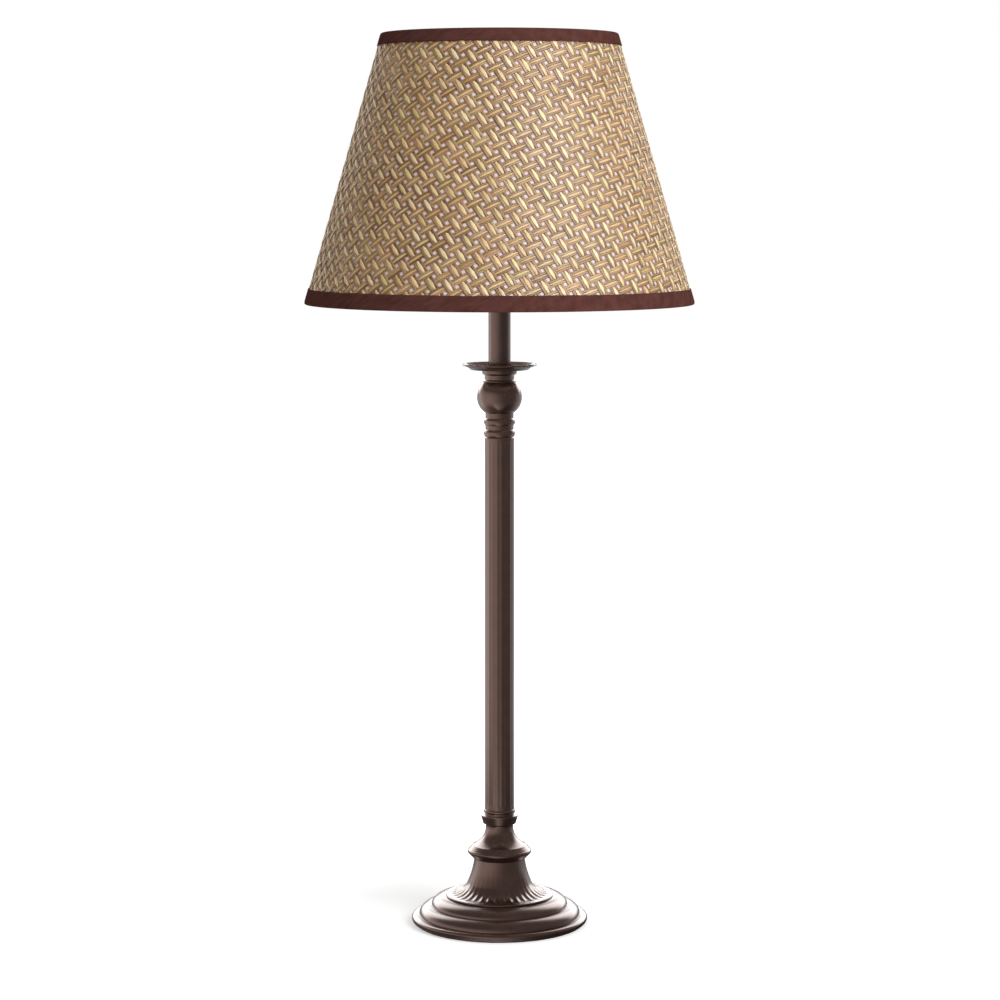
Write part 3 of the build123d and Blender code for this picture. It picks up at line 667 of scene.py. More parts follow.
@dataclass(frozen=True)
class Rough(Finish):
    """Cast, felted, enamelled or fired surface: a grain of its own size and a cloudy tone."""

    uneven: Span = (0.08, 0.08)
    cloud_rate: float = 0.09
    grain: float = 1.0
    height: float = 0.2
    spread: float = 0.15
    sheen: float = 0.0
    coat: float = 0.0

    def paint(self, graph: MaterialGraph) -> None:
        """Grain, tone, sheen and coat.

        Args:
            graph: The material's tree.
        """
        clouds = mottle(graph, graph.millimetres(), self.cloud_rate / self.grain)
        dark, light = self.shade(1 - self.spread), self.shade(1 + self.spread)
        graph.surface({
            "Base Color": graph.tones(clouds["Height"], (0.3, dark), (0.5, self.colour), (0.7, light)),
            "Roughness": self.rough_by(clouds["Grain"]),
            "Sheen Weight": self.sheen, "Coat Weight": self.coat,
        })
        graph.bump(clouds["Grain"], self.height)


@dataclass(frozen=True)
class Bright(Finish):
    """Bare or plated metal with the marks of turning and handling."""

    uneven: Span = (0.1, 0.14)
    cloud_rate: float = 0.3
    tarnish: float = 0.75
    ring_height: float = 0.02
    ring_share: float = 0.7

    def paint(self, graph: MaterialGraph) -> None:
        """Rings, scratches and tarnish.

        Args:
            graph: The material's tree.
        """
        place = graph.millimetres()
        clouds = mottle(graph, place, self.cloud_rate)
        graph.surface({
            "Base Color": graph.tones(clouds["Tone"], (0.3, self.shade(self.tarnish)), (0.6, self.colour)),
            "Roughness": self.rough_by(clouds["Height"]),
        })
        rings = turning(graph, place)["Height"] * self.ring_share
        graph.bump(rings + clouds["Grain"] * (1 - self.ring_share), self.ring_height)


@dataclass(frozen=True)
class Strip(Finish):
    """A strip of the weave: straw or cord, with fibres along it and each strand's own tone."""

    uneven: Span = (0.1, 0.1)
    pitch: float = 0.5
    twist: float = 0.0
    height: float = 0.12
    pale: Colour = (240.0, 220.0, 170.0)
    deep: Colour = (150.0, 110.0, 60.0)
    gloss: float = 0.3
    rose: Colour = (255, 243, 236)
    neutral: Colour = (252, 250, 248)
    olive: Colour = (245, 250, 232)
    strand_share: float = 0.35
    float_share: float = 0.35
    fibre_share: float = 0.6
    darkening: float = 0.15

    def paint(self, graph: MaterialGraph) -> None:
        """Tone by strand and by float, streaked by fibres, with a cast of rose or olive.

        Args:
            graph: The material's tree.
        """
        strand, float_tone, cast = graph.split(graph.attribute("tone"))
        fibres = fibre(graph, graph.attribute("strip"), self.pitch, self.twist)
        share = strand * self.strand_share + float_tone * self.float_share
        share = share + fibres["Tone"] * self.fibre_share - self.darkening
        tone = graph.tones(share, (0.1, self.deep), (0.5, self.colour), (0.9, self.pale))
        tint = graph.tones(
            cast, (0.1, self.rose), (0.4, self.neutral), (0.65, self.neutral), (0.95, self.olive)
        )
        graph.surface({
            "Base Color": graph.mixed(1.0, tone, tint, "MULTIPLY"),
            "Roughness": self.rough_by(fibres["Tone"]),
            "Specular IOR Level": self.gloss,
        })
        graph.bump(fibres["Height"], self.height)


@dataclass(frozen=True)
class Tape(Finish):
    """Cotton tape in a fine plain weave, read from the piece's own strip attribute."""

    thread: float = 0.7
    thread_share: float = 0.15
    height: float = 0.08
    cloud_rate: float = 0.12
    cloud_share: float = 0.7
    cloud_tones: Span = (0.72, 1.22)
    lightening: float = 0.1

    def paint(self, graph: MaterialGraph) -> None:
        """Threads both ways and a cloudy dye.

        Args:
            graph: The material's tree.
        """
        strip = graph.attribute("strip")
        along, across, _ = graph.split(strip)
        warp, weft = ((way * (2 * math.pi / self.thread)).cosine() for way in (along, across))
        cloth = warp * weft * 0.5 + 0.5
        clouds = mottle(graph, strip, self.cloud_rate)
        share = clouds["Tone"] * self.cloud_share + cloth * self.thread_share + self.lightening
        dark, light = (self.shade(tone) for tone in self.cloud_tones)
        graph.surface({
            "Base Color": graph.tones(share, (0.25, dark), (0.5, self.colour), (0.8, light)),
            "Specular IOR Level": 0.0,
        })
        graph.bump(cloth * 0.6 + clouds["Grain"] * 0.4, self.height)


@dataclass(frozen=True)
class Frosted(Finish):
    """Etched glass with a white coat inside."""

    uneven: Span = (0.06, 0.06)
    cloud_rate: float = 0.1
    clearness: float = 0.2
    ior: float = 1.48
    etching: float = 0.01

    def paint(self, graph: MaterialGraph) -> None:
        """A little light passes, softened by the etching.

        Args:
            graph: The material's tree.
        """
        clouds = mottle(graph, graph.millimetres(), self.cloud_rate)
        graph.surface({
            "Roughness": self.rough_by(clouds["Height"]),
            "Transmission Weight": self.clearness, "IOR": self.ior,
        })
        graph.bump(clouds["Grain"], self.etching)


BRONZE = Lacquer("bronze_lacquer", (88, 60, 49), roughness=0.33, metallic=0.75)
IRON = Rough("cast_iron", (62, 60, 58), roughness=0.75, metallic=0.5, grain=0.6, height=0.5, spread=0.2)
FELT = Rough("brown_felt", (52, 44, 40), roughness=0.95, grain=0.35, height=0.35, spread=0.25, sheen=0.3)
BUSH = Rough("bush_moulding", (44, 34, 31), roughness=0.5, grain=0.5, height=0.03, spread=0.08)
ZINC = Bright("zinc_plate", (186, 184, 176), roughness=0.32, metallic=1.0)
ENAMEL = Rough(
    "wire_enamel", (226, 222, 212), roughness=0.38, grain=0.5, height=0.04, spread=0.04, coat=0.4
)
MOULDING = Rough("black_moulding", (26, 24, 24), roughness=0.3, grain=0.4, height=0.012, spread=0.1, coat=0.3)
BAR_METAL = Bright("bright_bar", (205, 203, 198), roughness=0.22, metallic=1.0)
PORCELAIN = Rough("white_porcelain", (232, 229, 220), roughness=0.55, grain=0.5, height=0.03, spread=0.04)
BRASS = Bright("turned_brass", (205, 165, 92), roughness=0.26, metallic=1.0)
STRAW = Strip(
    "straw", (240, 216, 162), roughness=0.52, pitch=0.42, height=0.07,
    pale=(250, 234, 194), deep=(206, 170, 108),
)
CROSS_STRAW = Strip(
    "cross_straw", (222, 190, 130), roughness=0.52, pitch=0.42, height=0.07,
    pale=(242, 218, 170), deep=(180, 138, 82),
)
CORD = Strip(
    "brown_cord", (160, 122, 86), roughness=0.55, pitch=0.75, twist=0.55, height=0.1,
    pale=(200, 164, 130), deep=(112, 76, 50),
)
BACKING = Rough("cream_laminate", (251, 236, 228), roughness=0.5, grain=2.0, height=0.03, spread=0.04)
TAPE = Tape("maroon_tape", (92, 57, 52), roughness=0.8)
GLASS = Frosted("frosted_glass", (244, 241, 235), roughness=0.42)
ALUMINIUM = Bright("rolled_aluminium", (206, 206, 208), roughness=0.3, metallic=1.0)
BULB_BLACK = Rough("black_glass", (14, 14, 15), roughness=0.16, grain=0.6, height=0.01, spread=0.1)


def dress(piece: bpy.types.Object, finish: Finish) -> None:
    """Give a piece its finish in place of whatever it has."""
    piece.data.materials.clear()
    piece.data.materials.append(finish.material())


def hand_over(
    piece: bpy.types.Object, finish: Finish, body: Body, slot: Slot, *stands_for: str,
    sharp_over: Union[float, None] = None,
) -> None:
    """Dress a shaped piece, and tie it to its body and the nodes that it stands for.

    Args:
        piece: The piece, in its place.
        finish: Its finish.
        body: Body that it moves with.
        slot: Material slot of the record; not used.
        stands_for: CAD nodes that it replaces.
        sharp_over: Degrees of turn over which its edges shade sharp.
    """
    if sharp_over:
        piece.data.set_sharp_from_angle(angle=math.radians(sharp_over))
    dress(piece, finish)
    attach(piece, body.value)
    if stands_for:
        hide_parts(*stands_for)
    log.info("%s: %d faces on %s", piece.name, len(piece.data.polygons), body.value)


@dataclass(frozen=True)
class SoftLight:
    """A square soft light: degrees round from the front and up from the lamp's middle, side, watts."""

    name: str
    azimuth: float
    height: float
    side: float
    watts: float


@dataclass
class Studio:
    """Camera, floor, soft lights and a white surround."""

    lens: float = 106.2
    eye: tuple[float, float, float] = (0.00045, -2.650, 0.680)
    pitch_down: float = math.radians(6.257)
    key: SoftLight = SoftLight("key", 40, 25, 1.2, 35)
    top: SoftLight = SoftLight("top", 0, 80, 2.0, 6)
    glint: SoftLight = SoftLight("glint", 42, 33, 2.0, 290)
    light_distance: float = 2.4
    light_target: float = 0.45
    fill_light: float = 0.36
    floor_size: float = 14.0
    floor_colour: Colour = (0.86, 0.855, 0.85)
    floor_fade: Span = (0.14, 0.45)
    floor_glow: float = 0.5
    far_glow: float = 0.9
    front_gloss: float = 0.19
    left_gloss: Colour = (1.2, 1.04, 0.97)
    left_azimuth: Span = (math.radians(-34), math.radians(66))
    left_end: Span = (math.radians(112), math.radians(146))
    left_top: Span = (0.12, 0.55)
    back_gloss: float = 3.8
    back_azimuth: Span = (math.radians(116), math.radians(142))
    middle_gap: Span = (math.radians(160), math.radians(176))
    horizon: Span = (0.02, 0.2)
    cards_top: Span = (0.6, 0.88)
    band_low: Span = (0.14, 0.2)
    band_high: Span = (0.28, 0.4)
    back_floor_gloss: float = 0.45
    back_floor_azimuth: Span = (math.radians(80), math.radians(112))
    foot_shade: Span = (0.15, 0.95)
    foot_side: Span = (-0.11, -0.02)
    foot_shade_share: float = 0.86
    foot_light_share: float = 0.9

    def build(self) -> bpy.types.Collection:
        """Make everything that isn't the lamp.

        Returns:
            The collection that the straw's soft gloss falls on.
        """
        self.camera()
        self.floor()
        self.world()
        for light in (self.key, self.top):
            self.lamp(light)
        glint = self.lamp(self.glint)
        glint.visible_glossy = True
        glint.visible_diffuse = False
        glossed = bpy.data.collections.new("straw_gloss")
        glint.light_linking.receiver_collection = glossed
        bpy.context.scene.view_settings.view_transform = "Standard"
        return glossed

    def camera(self) -> None:
        """Camera at the photograph's height and angle."""
        data = bpy.data.cameras.new("camera")
        data.lens = self.lens
        camera = bpy.data.objects.new("camera", data)
        camera.location = self.eye
        camera.rotation_euler = (math.pi / 2 - self.pitch_down, 0, 0)
        bpy.context.scene.collection.objects.link(camera)
        bpy.context.scene.camera = camera

    def floor(self) -> None:
        """Plain pale floor, brightened for the camera alone, so that the lamp's shadow stays."""
        mesh = bpy.data.meshes.new("floor")
        half = self.floor_size / 2
        corners = [(-half, -half, 0), (half, -half, 0), (half, half, 0), (-half, half, 0)]
        mesh.from_pydata(corners, [], [(0, 1, 2, 3)])
        floor = bpy.data.objects.new("floor", mesh)
        bpy.context.scene.collection.objects.link(floor)
        material = bpy.data.materials.new("floor")
        material.use_nodes = True
        material.node_tree.nodes.clear()
        graph = Graph(material.node_tree)
        east, north, _ = graph.split(graph.add("ShaderNodeTexCoord").outputs["Object"])
        reach = (east * east + north * north).sum_of("SQRT")
        plain = graph.add("ShaderNodeBsdfDiffuse", {"Color": (*self.floor_colour, 1)})
        seen, _, glossy = self.rays(graph)
        strength = seen * (reach.smooth_step(*self.floor_fade) * self.far_glow + self.floor_glow)
        glow = graph.add("ShaderNodeEmission", {"Color": (1, 1, 1, 1), "Strength": strength})
        both = graph.add("ShaderNodeAddShader", {0: plain.outputs[0], 1: glow.outputs[0]})
        # In gloss, the floor by the foot is darker at its sides and behind, and lighter before it: painted
        # shade and painted light in what the foot reflects of the floor
        near = reach.smooth_step(*self.foot_shade).remainder()
        beside = (north + east.size()).smooth_step(*self.foot_side)
        before = beside * -self.foot_light_share + self.foot_light_share
        shaded = near * (before + beside * -self.foot_shade_share) + 1.0
        gloss = self.gloss_colour(graph, graph.join(east, north, 0.0))
        mirrored = graph.add("ShaderNodeEmission", {"Color": gloss, "Strength": shaded})
        upper = self.choice(graph, glossy, both, mirrored)
        # Seen from below, the floor is clear, so that the underside of the lamp shows
        below = graph.add("ShaderNodeNewGeometry").outputs["Backfacing"]
        sided = self.choice(graph, below, upper, graph.add("ShaderNodeBsdfTransparent"))
        graph.add("ShaderNodeOutputMaterial", {"Surface": sided.outputs[0]})
        mesh.materials.append(material)

    def world(self) -> None:
        """White surround for camera and glass, an even fill, and the studio's own light for gloss."""
        world = bpy.data.worlds.new("studio")
        bpy.context.scene.world = world
        world.use_nodes = True
        world.node_tree.nodes.clear()
        graph = Graph(world.node_tree)
        direction = graph.add("ShaderNodeTexCoord").outputs["Generated"]
        seen, diffuse, glossy = self.rays(graph)
        strength = seen.sum_of("MAXIMUM", diffuse * self.fill_light)
        sky = graph.add("ShaderNodeBackground", {"Color": (1, 1, 1, 1), "Strength": strength})
        mirrored = graph.add("ShaderNodeBackground", {"Color": self.gloss_colour(graph, direction)})
        chosen = self.choice(graph, glossy, sky, mirrored)
        graph.add("ShaderNodeOutputWorld", {"Surface": chosen.outputs[0]})

    def rays(self, graph: Graph) -> tuple[Field, Field, Field]:
        """What kind of ray it is.

        Args:
            graph: Tree of the floor or the world.

        Returns:
            Whether it comes from the camera or through glass, whether it is diffuse, and whether glossy.
        """
        rays = graph.add("ShaderNodeLightPath")
        seen = graph.out(rays, "Is Camera Ray").sum_of("MAXIMUM", graph.out(rays, "Is Transmission Ray"))
        return seen, graph.out(rays, "Is Diffuse Ray"), graph.out(rays, "Is Glossy Ray")

    def choice(
        self, graph: Graph, share: object, first: bpy.types.Node, second: bpy.types.Node
    ) -> bpy.types.Node:
        """A mix of two shaders, by the second one's share."""
        return graph.add("ShaderNodeMixShader", {0: share, 1: first.outputs[0], 2: second.outputs[0]})

    def gloss_colour(self, graph: Graph, direction: bpy.types.NodeSocket) -> bpy.types.NodeSocket:
        """What gloss sees: a soft box on the left, a low band and two cards behind, dark in front.

        Args:
            graph: Tree of the floor or the world.
            direction: Direction from the lamp; on the floor, the place with no height.

        Returns:
            The colour, as a vector.
        """
        def fill(inner: Graph, given: dict[str, Field]) -> dict[str, Field]:
            """Inside of the group.

            Args:
                inner: The group's tree.
                given: Its inputs, by name.

            Returns:
                Its outputs, by name.
            """
            east, north, height = inner.split(given["Position"])
            azimuth = east.sum_of("ARCTAN2", -north)
            turn = azimuth.size()
            left = (azimuth * -1.0).smooth_step(*self.left_azimuth)
            left = left * height.smooth_step(*self.left_top).remainder()
            left = left * turn.smooth_step(*self.left_end).remainder()
            aside = turn.smooth_step(*self.middle_gap).remainder()
            above = height.smooth_step(*self.horizon)
            cards = above * aside * height.smooth_step(*self.cards_top).remainder()
            band = height.smooth_step(*self.band_low) * height.smooth_step(*self.band_high).remainder()
            backdrop = turn.smooth_step(*self.back_azimuth) * cards.sum_of("MAXIMUM", band)
            ground = turn.smooth_step(*self.back_floor_azimuth) * above.remainder() * aside
            return {"Left": left, "Backdrop": backdrop, "Ground": ground}

        shares = ShaderGroup.place(
            graph, "surround", {"Position": direction}, ("Left", "Backdrop", "Ground"), fill
        )
        white = shares["Backdrop"] * self.back_gloss + shares["Ground"] * self.back_floor_gloss
        return graph.join(*(
            shares["Left"] * (left - self.front_gloss) + white + self.front_gloss
            for left in self.left_gloss
        ))

    def lamp(self, light: SoftLight) -> bpy.types.Object:
        """Place a soft light that faces the lamp and stays out of its gloss.

        Args:
            light: Place, size and power of the light.

        Returns:
            The light.
        """
        turn, lift = math.radians(light.azimuth), math.radians(light.height)
        offset = Vector((math.sin(turn) * math.cos(lift), -math.cos(turn) * math.cos(lift), math.sin(lift)))
        data = bpy.data.lights.new(light.name, "AREA")
        data.shape = "RECTANGLE"
        data.size = data.size_y = light.side
        data.energy = light.watts
        placed = bpy.data.objects.new(light.name, data)
        placed.location = Vector((0, 0, self.light_target)) + offset * self.light_distance
        placed.rotation_euler = (-offset).to_track_quat("-Z", "Y").to_euler()
        placed.visible_glossy = False
        bpy.context.scene.collection.objects.link(placed)
        return placed


@dataclass
class Cone:
    """The cone that the shade is made on, and its development as a flat sheet."""

    bottom_radius: float
    low: float
    high: float
    top_radius: float = 0.1052
    lining: float = 1.2 * MM

    @classmethod
    def from_frame(cls) -> "Cone":
        """The cone at the place where the frame has the weave."""
        lowest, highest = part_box("shade_weave")
        return cls(highest.x, lowest.z, highest.z)

    @property
    def slope(self) -> float:
        """Radius that the cone loses for each unit of height."""
        return (self.bottom_radius - self.top_radius) / (self.high - self.low)

    @property
    def lean(self) -> float:
        """Half-angle of the cone."""
        return math.atan2(self.bottom_radius - self.top_radius, self.high - self.low)

    @property
    def top_reach(self) -> float:
        """Distance from the apex down to the upper edge, along the surface under the weave."""
        return (self.top_radius - self.lining) / math.sin(self.lean)

    @property
    def bottom_reach(self) -> float:
        """Distance from the apex down to the lower edge."""
        return (self.bottom_radius - self.lining) / math.sin(self.lean)

    @property
    def apex(self) -> float:
        """Level of the apex of the surface under the weave."""
        return self.high + self.top_reach * math.cos(self.lean)


@dataclass
class Strand:
    """One kind of strip in the weave, in millimetres."""

    name: str
    finish: Finish
    steep: bool
    side: float
    width: float
    thickness: float
    lift: float
    corners: int
    rings: int
    taper: float


@dataclass
class WovenCover:
    """Open plain weave of straw strips between brown cords, laid diagonally on the cone."""

    cone: Cone
    step_a: Span = (15.3, -2.8)
    step_b: Span = (-5.4, -12.65)
    swing: float = 0.29
    level: float = 0.62
    squareness: float = 1.7
    crown_power: float = 0.6
    edge: float = 1.5
    edge_share: float = 0.9
    seam_gap: float = 0.0006
    spread_share: float = 0.85
    strands: Sequence[Strand] = (
        Strand("weave_straw_steep", STRAW, True, 0.0, 3.5, 0.46, 0.05, 8, 10, 0.3),
        Strand("weave_cord_steep_left", CORD, True, -2.75, 2.7, 0.42, -0.07, 6, 9, 1.0),
        Strand("weave_cord_steep_right", CORD, True, 2.75, 2.7, 0.42, -0.07, 6, 9, 1.0),
        Strand("weave_straw_cross", CROSS_STRAW, False, 0.0, 2.0, 0.44, 0.04, 8, 10, 0.4),
        Strand("weave_cord_cross_low", CORD, False, -1.9, 2.2, 0.4, -0.05, 6, 9, 1.0),
        Strand("weave_cord_cross_high", CORD, False, 1.9, 2.2, 0.4, -0.05, 6, 9, 1.0),
    )

    def build(self, glossed: bpy.types.Collection) -> None:
        """Make the strips of the weave, one piece for each kind.

        Args:
            glossed: Collection of what the straw's soft gloss falls on.
        """
        stands_for = ["shade_weave"]
        for index, strand in enumerate(self.strands):
            piece = self.tree(strand, SEED + 10 * index).make(strand.name)
            hand_over(piece, strand.finish, Body.SHADE, Slot.WEAVE, *stands_for)
            stands_for = []
            glossed.objects.link(piece)

    def tree(self, strand: Strand, seed: int) -> GeometryTree:
        """Nodes that make one kind of strip over the whole shade.

        Args:
            strand: The kind of strip.
            seed: Seed of its tones.

        Returns:
            The tree, ready to run.
        """
        a, b = Vector(self.step_a), Vector(self.step_b)
        run = a + b if strand.steep else a - b
        first = Vector((0, 0)) if strand.steep else (a + b) / 2
        count = 2 * math.ceil(self.spread_share * self.cone.bottom_reach / (b.length * MM))
        made = GeometryTree(strand.name, {
            "Material": strand.finish.material(),
            "Columns": count, "Rows": count,
            "Step A": (*(a * MM), 0.0), "Step B": (*(b * MM), 0.0), "First": (*(first * MM), 0.0),
            "Count sign": -1.0 if strand.steep else 1.0,
            "Turn": math.atan2(run.y, run.x), "Length": run.length * MM,
            "Width": strand.width * MM, "Thickness": strand.thickness * MM, "Side": strand.side * MM,
            "Level": (self.level + strand.lift) * MM, "Swing": self.swing * MM,
            "Squareness": self.squareness, "Corners": strand.corners, "Rings": strand.rings,
            "Taper": strand.taper,
            "Apex": self.cone.apex, "Lean": self.cone.lean,
            "Top reach": self.cone.top_reach + self.edge * MM,
            "Bottom reach": self.cone.bottom_reach - self.edge * MM,
            "Seam gap": self.seam_gap, "Seed": seed,
        })
        spots = {"Points": self.lattice(made), "Instance": self.one_float(made)}
        spots["Rotation"] = made.join(0.0, 0.0, made.size_of("Turn"))
        placed = made.add("GeometryNodeInstanceOnPoints", spots)
        real = made.add("GeometryNodeRealizeInstances", {"Geometry": placed.outputs[0]})
        made.finish(self.wrap(made, real.outputs[0]))
        return made

    def one_float(self, made: GeometryTree) -> bpy.types.NodeSocket:
        """One period of a strip, arched over what it crosses, with its place on the strip kept.

        Args:
            made: The strip's tree.

        Returns:
            The mesh, flat about the origin.
        """
        tube = made.tube("Corners", "Rings", 1.0, 1.0)
        x, y, z = made.place()
        bulge = y.size().sum_of("POWER", self.crown_power) * y.sum_of("SIGN")
        crown = bulge * made.size_of("Thickness") * 0.5
        square = made.size_of("Squareness")
        wave = ((z * (2 * math.pi)).cosine() * square).sum_of("TANH") / square.sum_of("TANH")
        along = z * made.size_of("Length")
        # A float is widest in its middle and narrows to where it dives under
        swell = (z * math.pi).cosine().sum_of("POWER", 2.0)
        narrow = made.size_of("Taper")
        width = made.size_of("Width") * (narrow + swell * narrow.remainder())
        side = made.size_of("Side")
        sideways = x * width * 0.5 + side
        height = made.size_of("Level") + made.size_of("Swing") * wave + crown
        kept = made.store(tube, "strip", along / MM, sideways / MM, side / MM)
        return made.move(kept, along, sideways, height)

    def lattice(self, made: GeometryTree) -> bpy.types.NodeSocket:
        """Middles of the floats on the flat sheet, each with its strand's and its own tone.

        Args:
            made: The strip's tree.

        Returns:
            The points.
        """
        columns, rows = made.size_of("Columns"), made.size_of("Rows")
        index = made.out(made.add("GeometryNodeInputIndex"))
        row = (index / columns).sum_of("FLOOR")
        column = index - row * columns
        # Whole shares of the two steps, counted from the middle of the sheet's front
        i = column - (columns * 0.5).sum_of("FLOOR")
        j = row - (rows * 0.5).sum_of("FLOOR")
        ax, ay, _ = made.split(made.size_of("Step A"))
        bx, by, _ = made.split(made.size_of("Step B"))
        fx, fy, _ = made.split(made.size_of("First"))
        x = i * ax + j * bx + fx
        top, bottom = made.size_of("Top reach"), made.size_of("Bottom reach")
        y = i * ay + j * by + fy - (top + bottom) * 0.5
        strand = i + j * made.size_of("Count sign")
        points = made.add("GeometryNodePoints", {"Count": columns * rows, "Position": made.join(x, y, 0.0)})
        tones = (self.random(made, number, channel) for channel, number in enumerate((strand, index, index)))
        toned = made.store(points.outputs[0], "tone", *tones)
        reach, turn = self.polar(made)
        half = made.size_of("Length") * 0.5
        beyond = half * self.edge_share
        outside = (top - beyond).sum_of("GREATER_THAN", reach)
        outside = outside + reach.sum_of("GREATER_THAN", bottom + beyond)
        limit = made.size_of("Lean").sine() * math.pi + half / reach
        outside = outside + turn.size().sum_of("GREATER_THAN", limit)
        return made.add("GeometryNodeDeleteGeometry", {"Geometry": toned, "Selection": outside}).outputs[0]

    def random(self, made: GeometryTree, number: Field, channel: int) -> Field:
        """A fixed random share for a whole number.

        Args:
            made: The strip's tree.
            number: The number.
            channel: Which of its shares.

        Returns:
            The share, 0 to 1.
        """
        inputs = {"ID": number, "Seed": made.size_of("Seed") + channel}
        node = made.add("FunctionNodeRandomValue", inputs, data_type="FLOAT")
        return Field(made, next(socket for socket in node.outputs if socket.enabled))

    def polar(self, made: GeometryTree) -> tuple[Field, Field]:
        """Distance from the apex and turn about it, of a place on the flat sheet."""
        x, y, _ = made.place()
        return (x * x + y * y).sum_of("SQRT"), x.sum_of("ARCTAN2", -y)

    def wrap(self, made: GeometryTree, flat: bpy.types.NodeSocket) -> bpy.types.NodeSocket:
        """Roll the flat sheet into the cone, cut straight at both edges and at the seam.

        Args:
            made: The strip's tree.
            flat: The flat strips.

        Returns:
            The strips on the cone.
        """
        reach, turn = self.polar(made)
        height = made.place()[2]
        reach = reach.between(made.size_of("Top reach"), made.size_of("Bottom reach"))
        lean = made.size_of("Lean")
        end = made.size_of("Seam gap") * -1.0 + math.pi
        azimuth = (turn / lean.sine()).between(-end, end)
        radius = reach * lean.sine() + height * lean.cosine()
        level = made.size_of("Apex") - reach * lean.cosine() + height * lean.sine()
        return made.move(flat, radius * azimuth.sine(), -(radius * azimuth.cosine()), level)


def rounded(corners: Sequence[tuple[float, float, float]], steps: int = 6) -> list[tuple[float, float]]:
    """Outline with round corners.

    Args:
        corners: Radius, level and size of the rounding at each corner, in millimetres.
        steps: Points along each rounding, less one.

    Returns:
        Radius and level of each point.
    """
    line = []
    for index, (radius, level, size) in enumerate(corners):
        here = Vector((radius, level))
        before = Vector(corners[index - 1][:2]) - here
        after = Vector(corners[(index + 1) % len(corners)][:2]) - here
        if size == 0 or before.length == 0 or after.length == 0:
            line.append((radius, level))
            continue
        before.normalize()
        after.normalize()
        half = before.angle(after) / 2
        reach = size / math.tan(half)
        centre = here + (before + after).normalized() * (size / math.sin(half))
        start, end = here + before * reach - centre, here + after * reach - centre
        for step in range(steps + 1):
            spoke = start.lerp(end, step / steps).normalized() * size
            line.append(tuple(centre + spoke))
    return line


def close_round(made: bmesh.types.BMesh, rings: Sequence[Sequence[bmesh.types.BMVert]]) -> None:
    """Join closed rings of corners with faces, the last one to the first.

    Args:
        made: The mesh.
        rings: The rings, in order round the piece.
    """
    for ring, following in zip(rings, rings[1:] + rings[:1]):
        for index in range(len(ring)):
            after = (index + 1) % len(ring)
            made.faces.new((ring[index], following[index], following[after], ring[after]))


def as_piece(name: str, made: bmesh.types.BMesh) -> bpy.types.Object:
    """Turn a finished mesh into a smooth piece with its faces outward.

    Args:
        name: Name of the piece.
        made: The mesh, which is freed.

    Returns:
        The piece.
    """
    bmesh.ops.recalc_face_normals(made, faces=made.faces)
    mesh = bpy.data.meshes.new(name)
    made.to_mesh(mesh)
    made.free()
    mesh.shade_smooth()
    piece = bpy.data.objects.new(name, mesh)
    bpy.context.scene.collection.objects.link(piece)
    return piece


def spin(
    name: str, outline: Sequence[tuple[float, float]], segments: int = 144,
    flutes: int = 0, depths: Sequence[float] = (),
) -> bpy.types.Object:
    """Spin a closed outline round the upright axis.

    Args:
        name: Name of the piece.
        outline: Radius and level of each corner, in millimetres.
        segments: Sides of the round.
        flutes: Number of flutes round it.
        depths: Depth of the flutes at each corner, in millimetres.

    Returns:
        The piece, closed and with its faces outward.
    """
    made, rings = bmesh.new(), []
    depths = depths or [0.0] * len(outline)
    for segment in range(segments):
        turn = 2 * math.pi * segment / segments
        hollow = abs(math.cos(turn * flutes / 2)) ** FLUTE_ROUNDNESS
        ring = []
        for (radius, level), depth in zip(outline, depths):
            reach = (radius - depth * hollow) * MM
            ring.append(made.verts.new((reach * math.sin(turn), -reach * math.cos(turn), level * MM)))
        rings.append(ring)
    close_round(made, rings)
    bmesh.ops.remove_doubles(made, verts=made.verts, dist=MERGE_DISTANCE)
    bmesh.ops.dissolve_degenerate(made, edges=made.edges, dist=MERGE_DISTANCE)
    return as_piece(name, made)


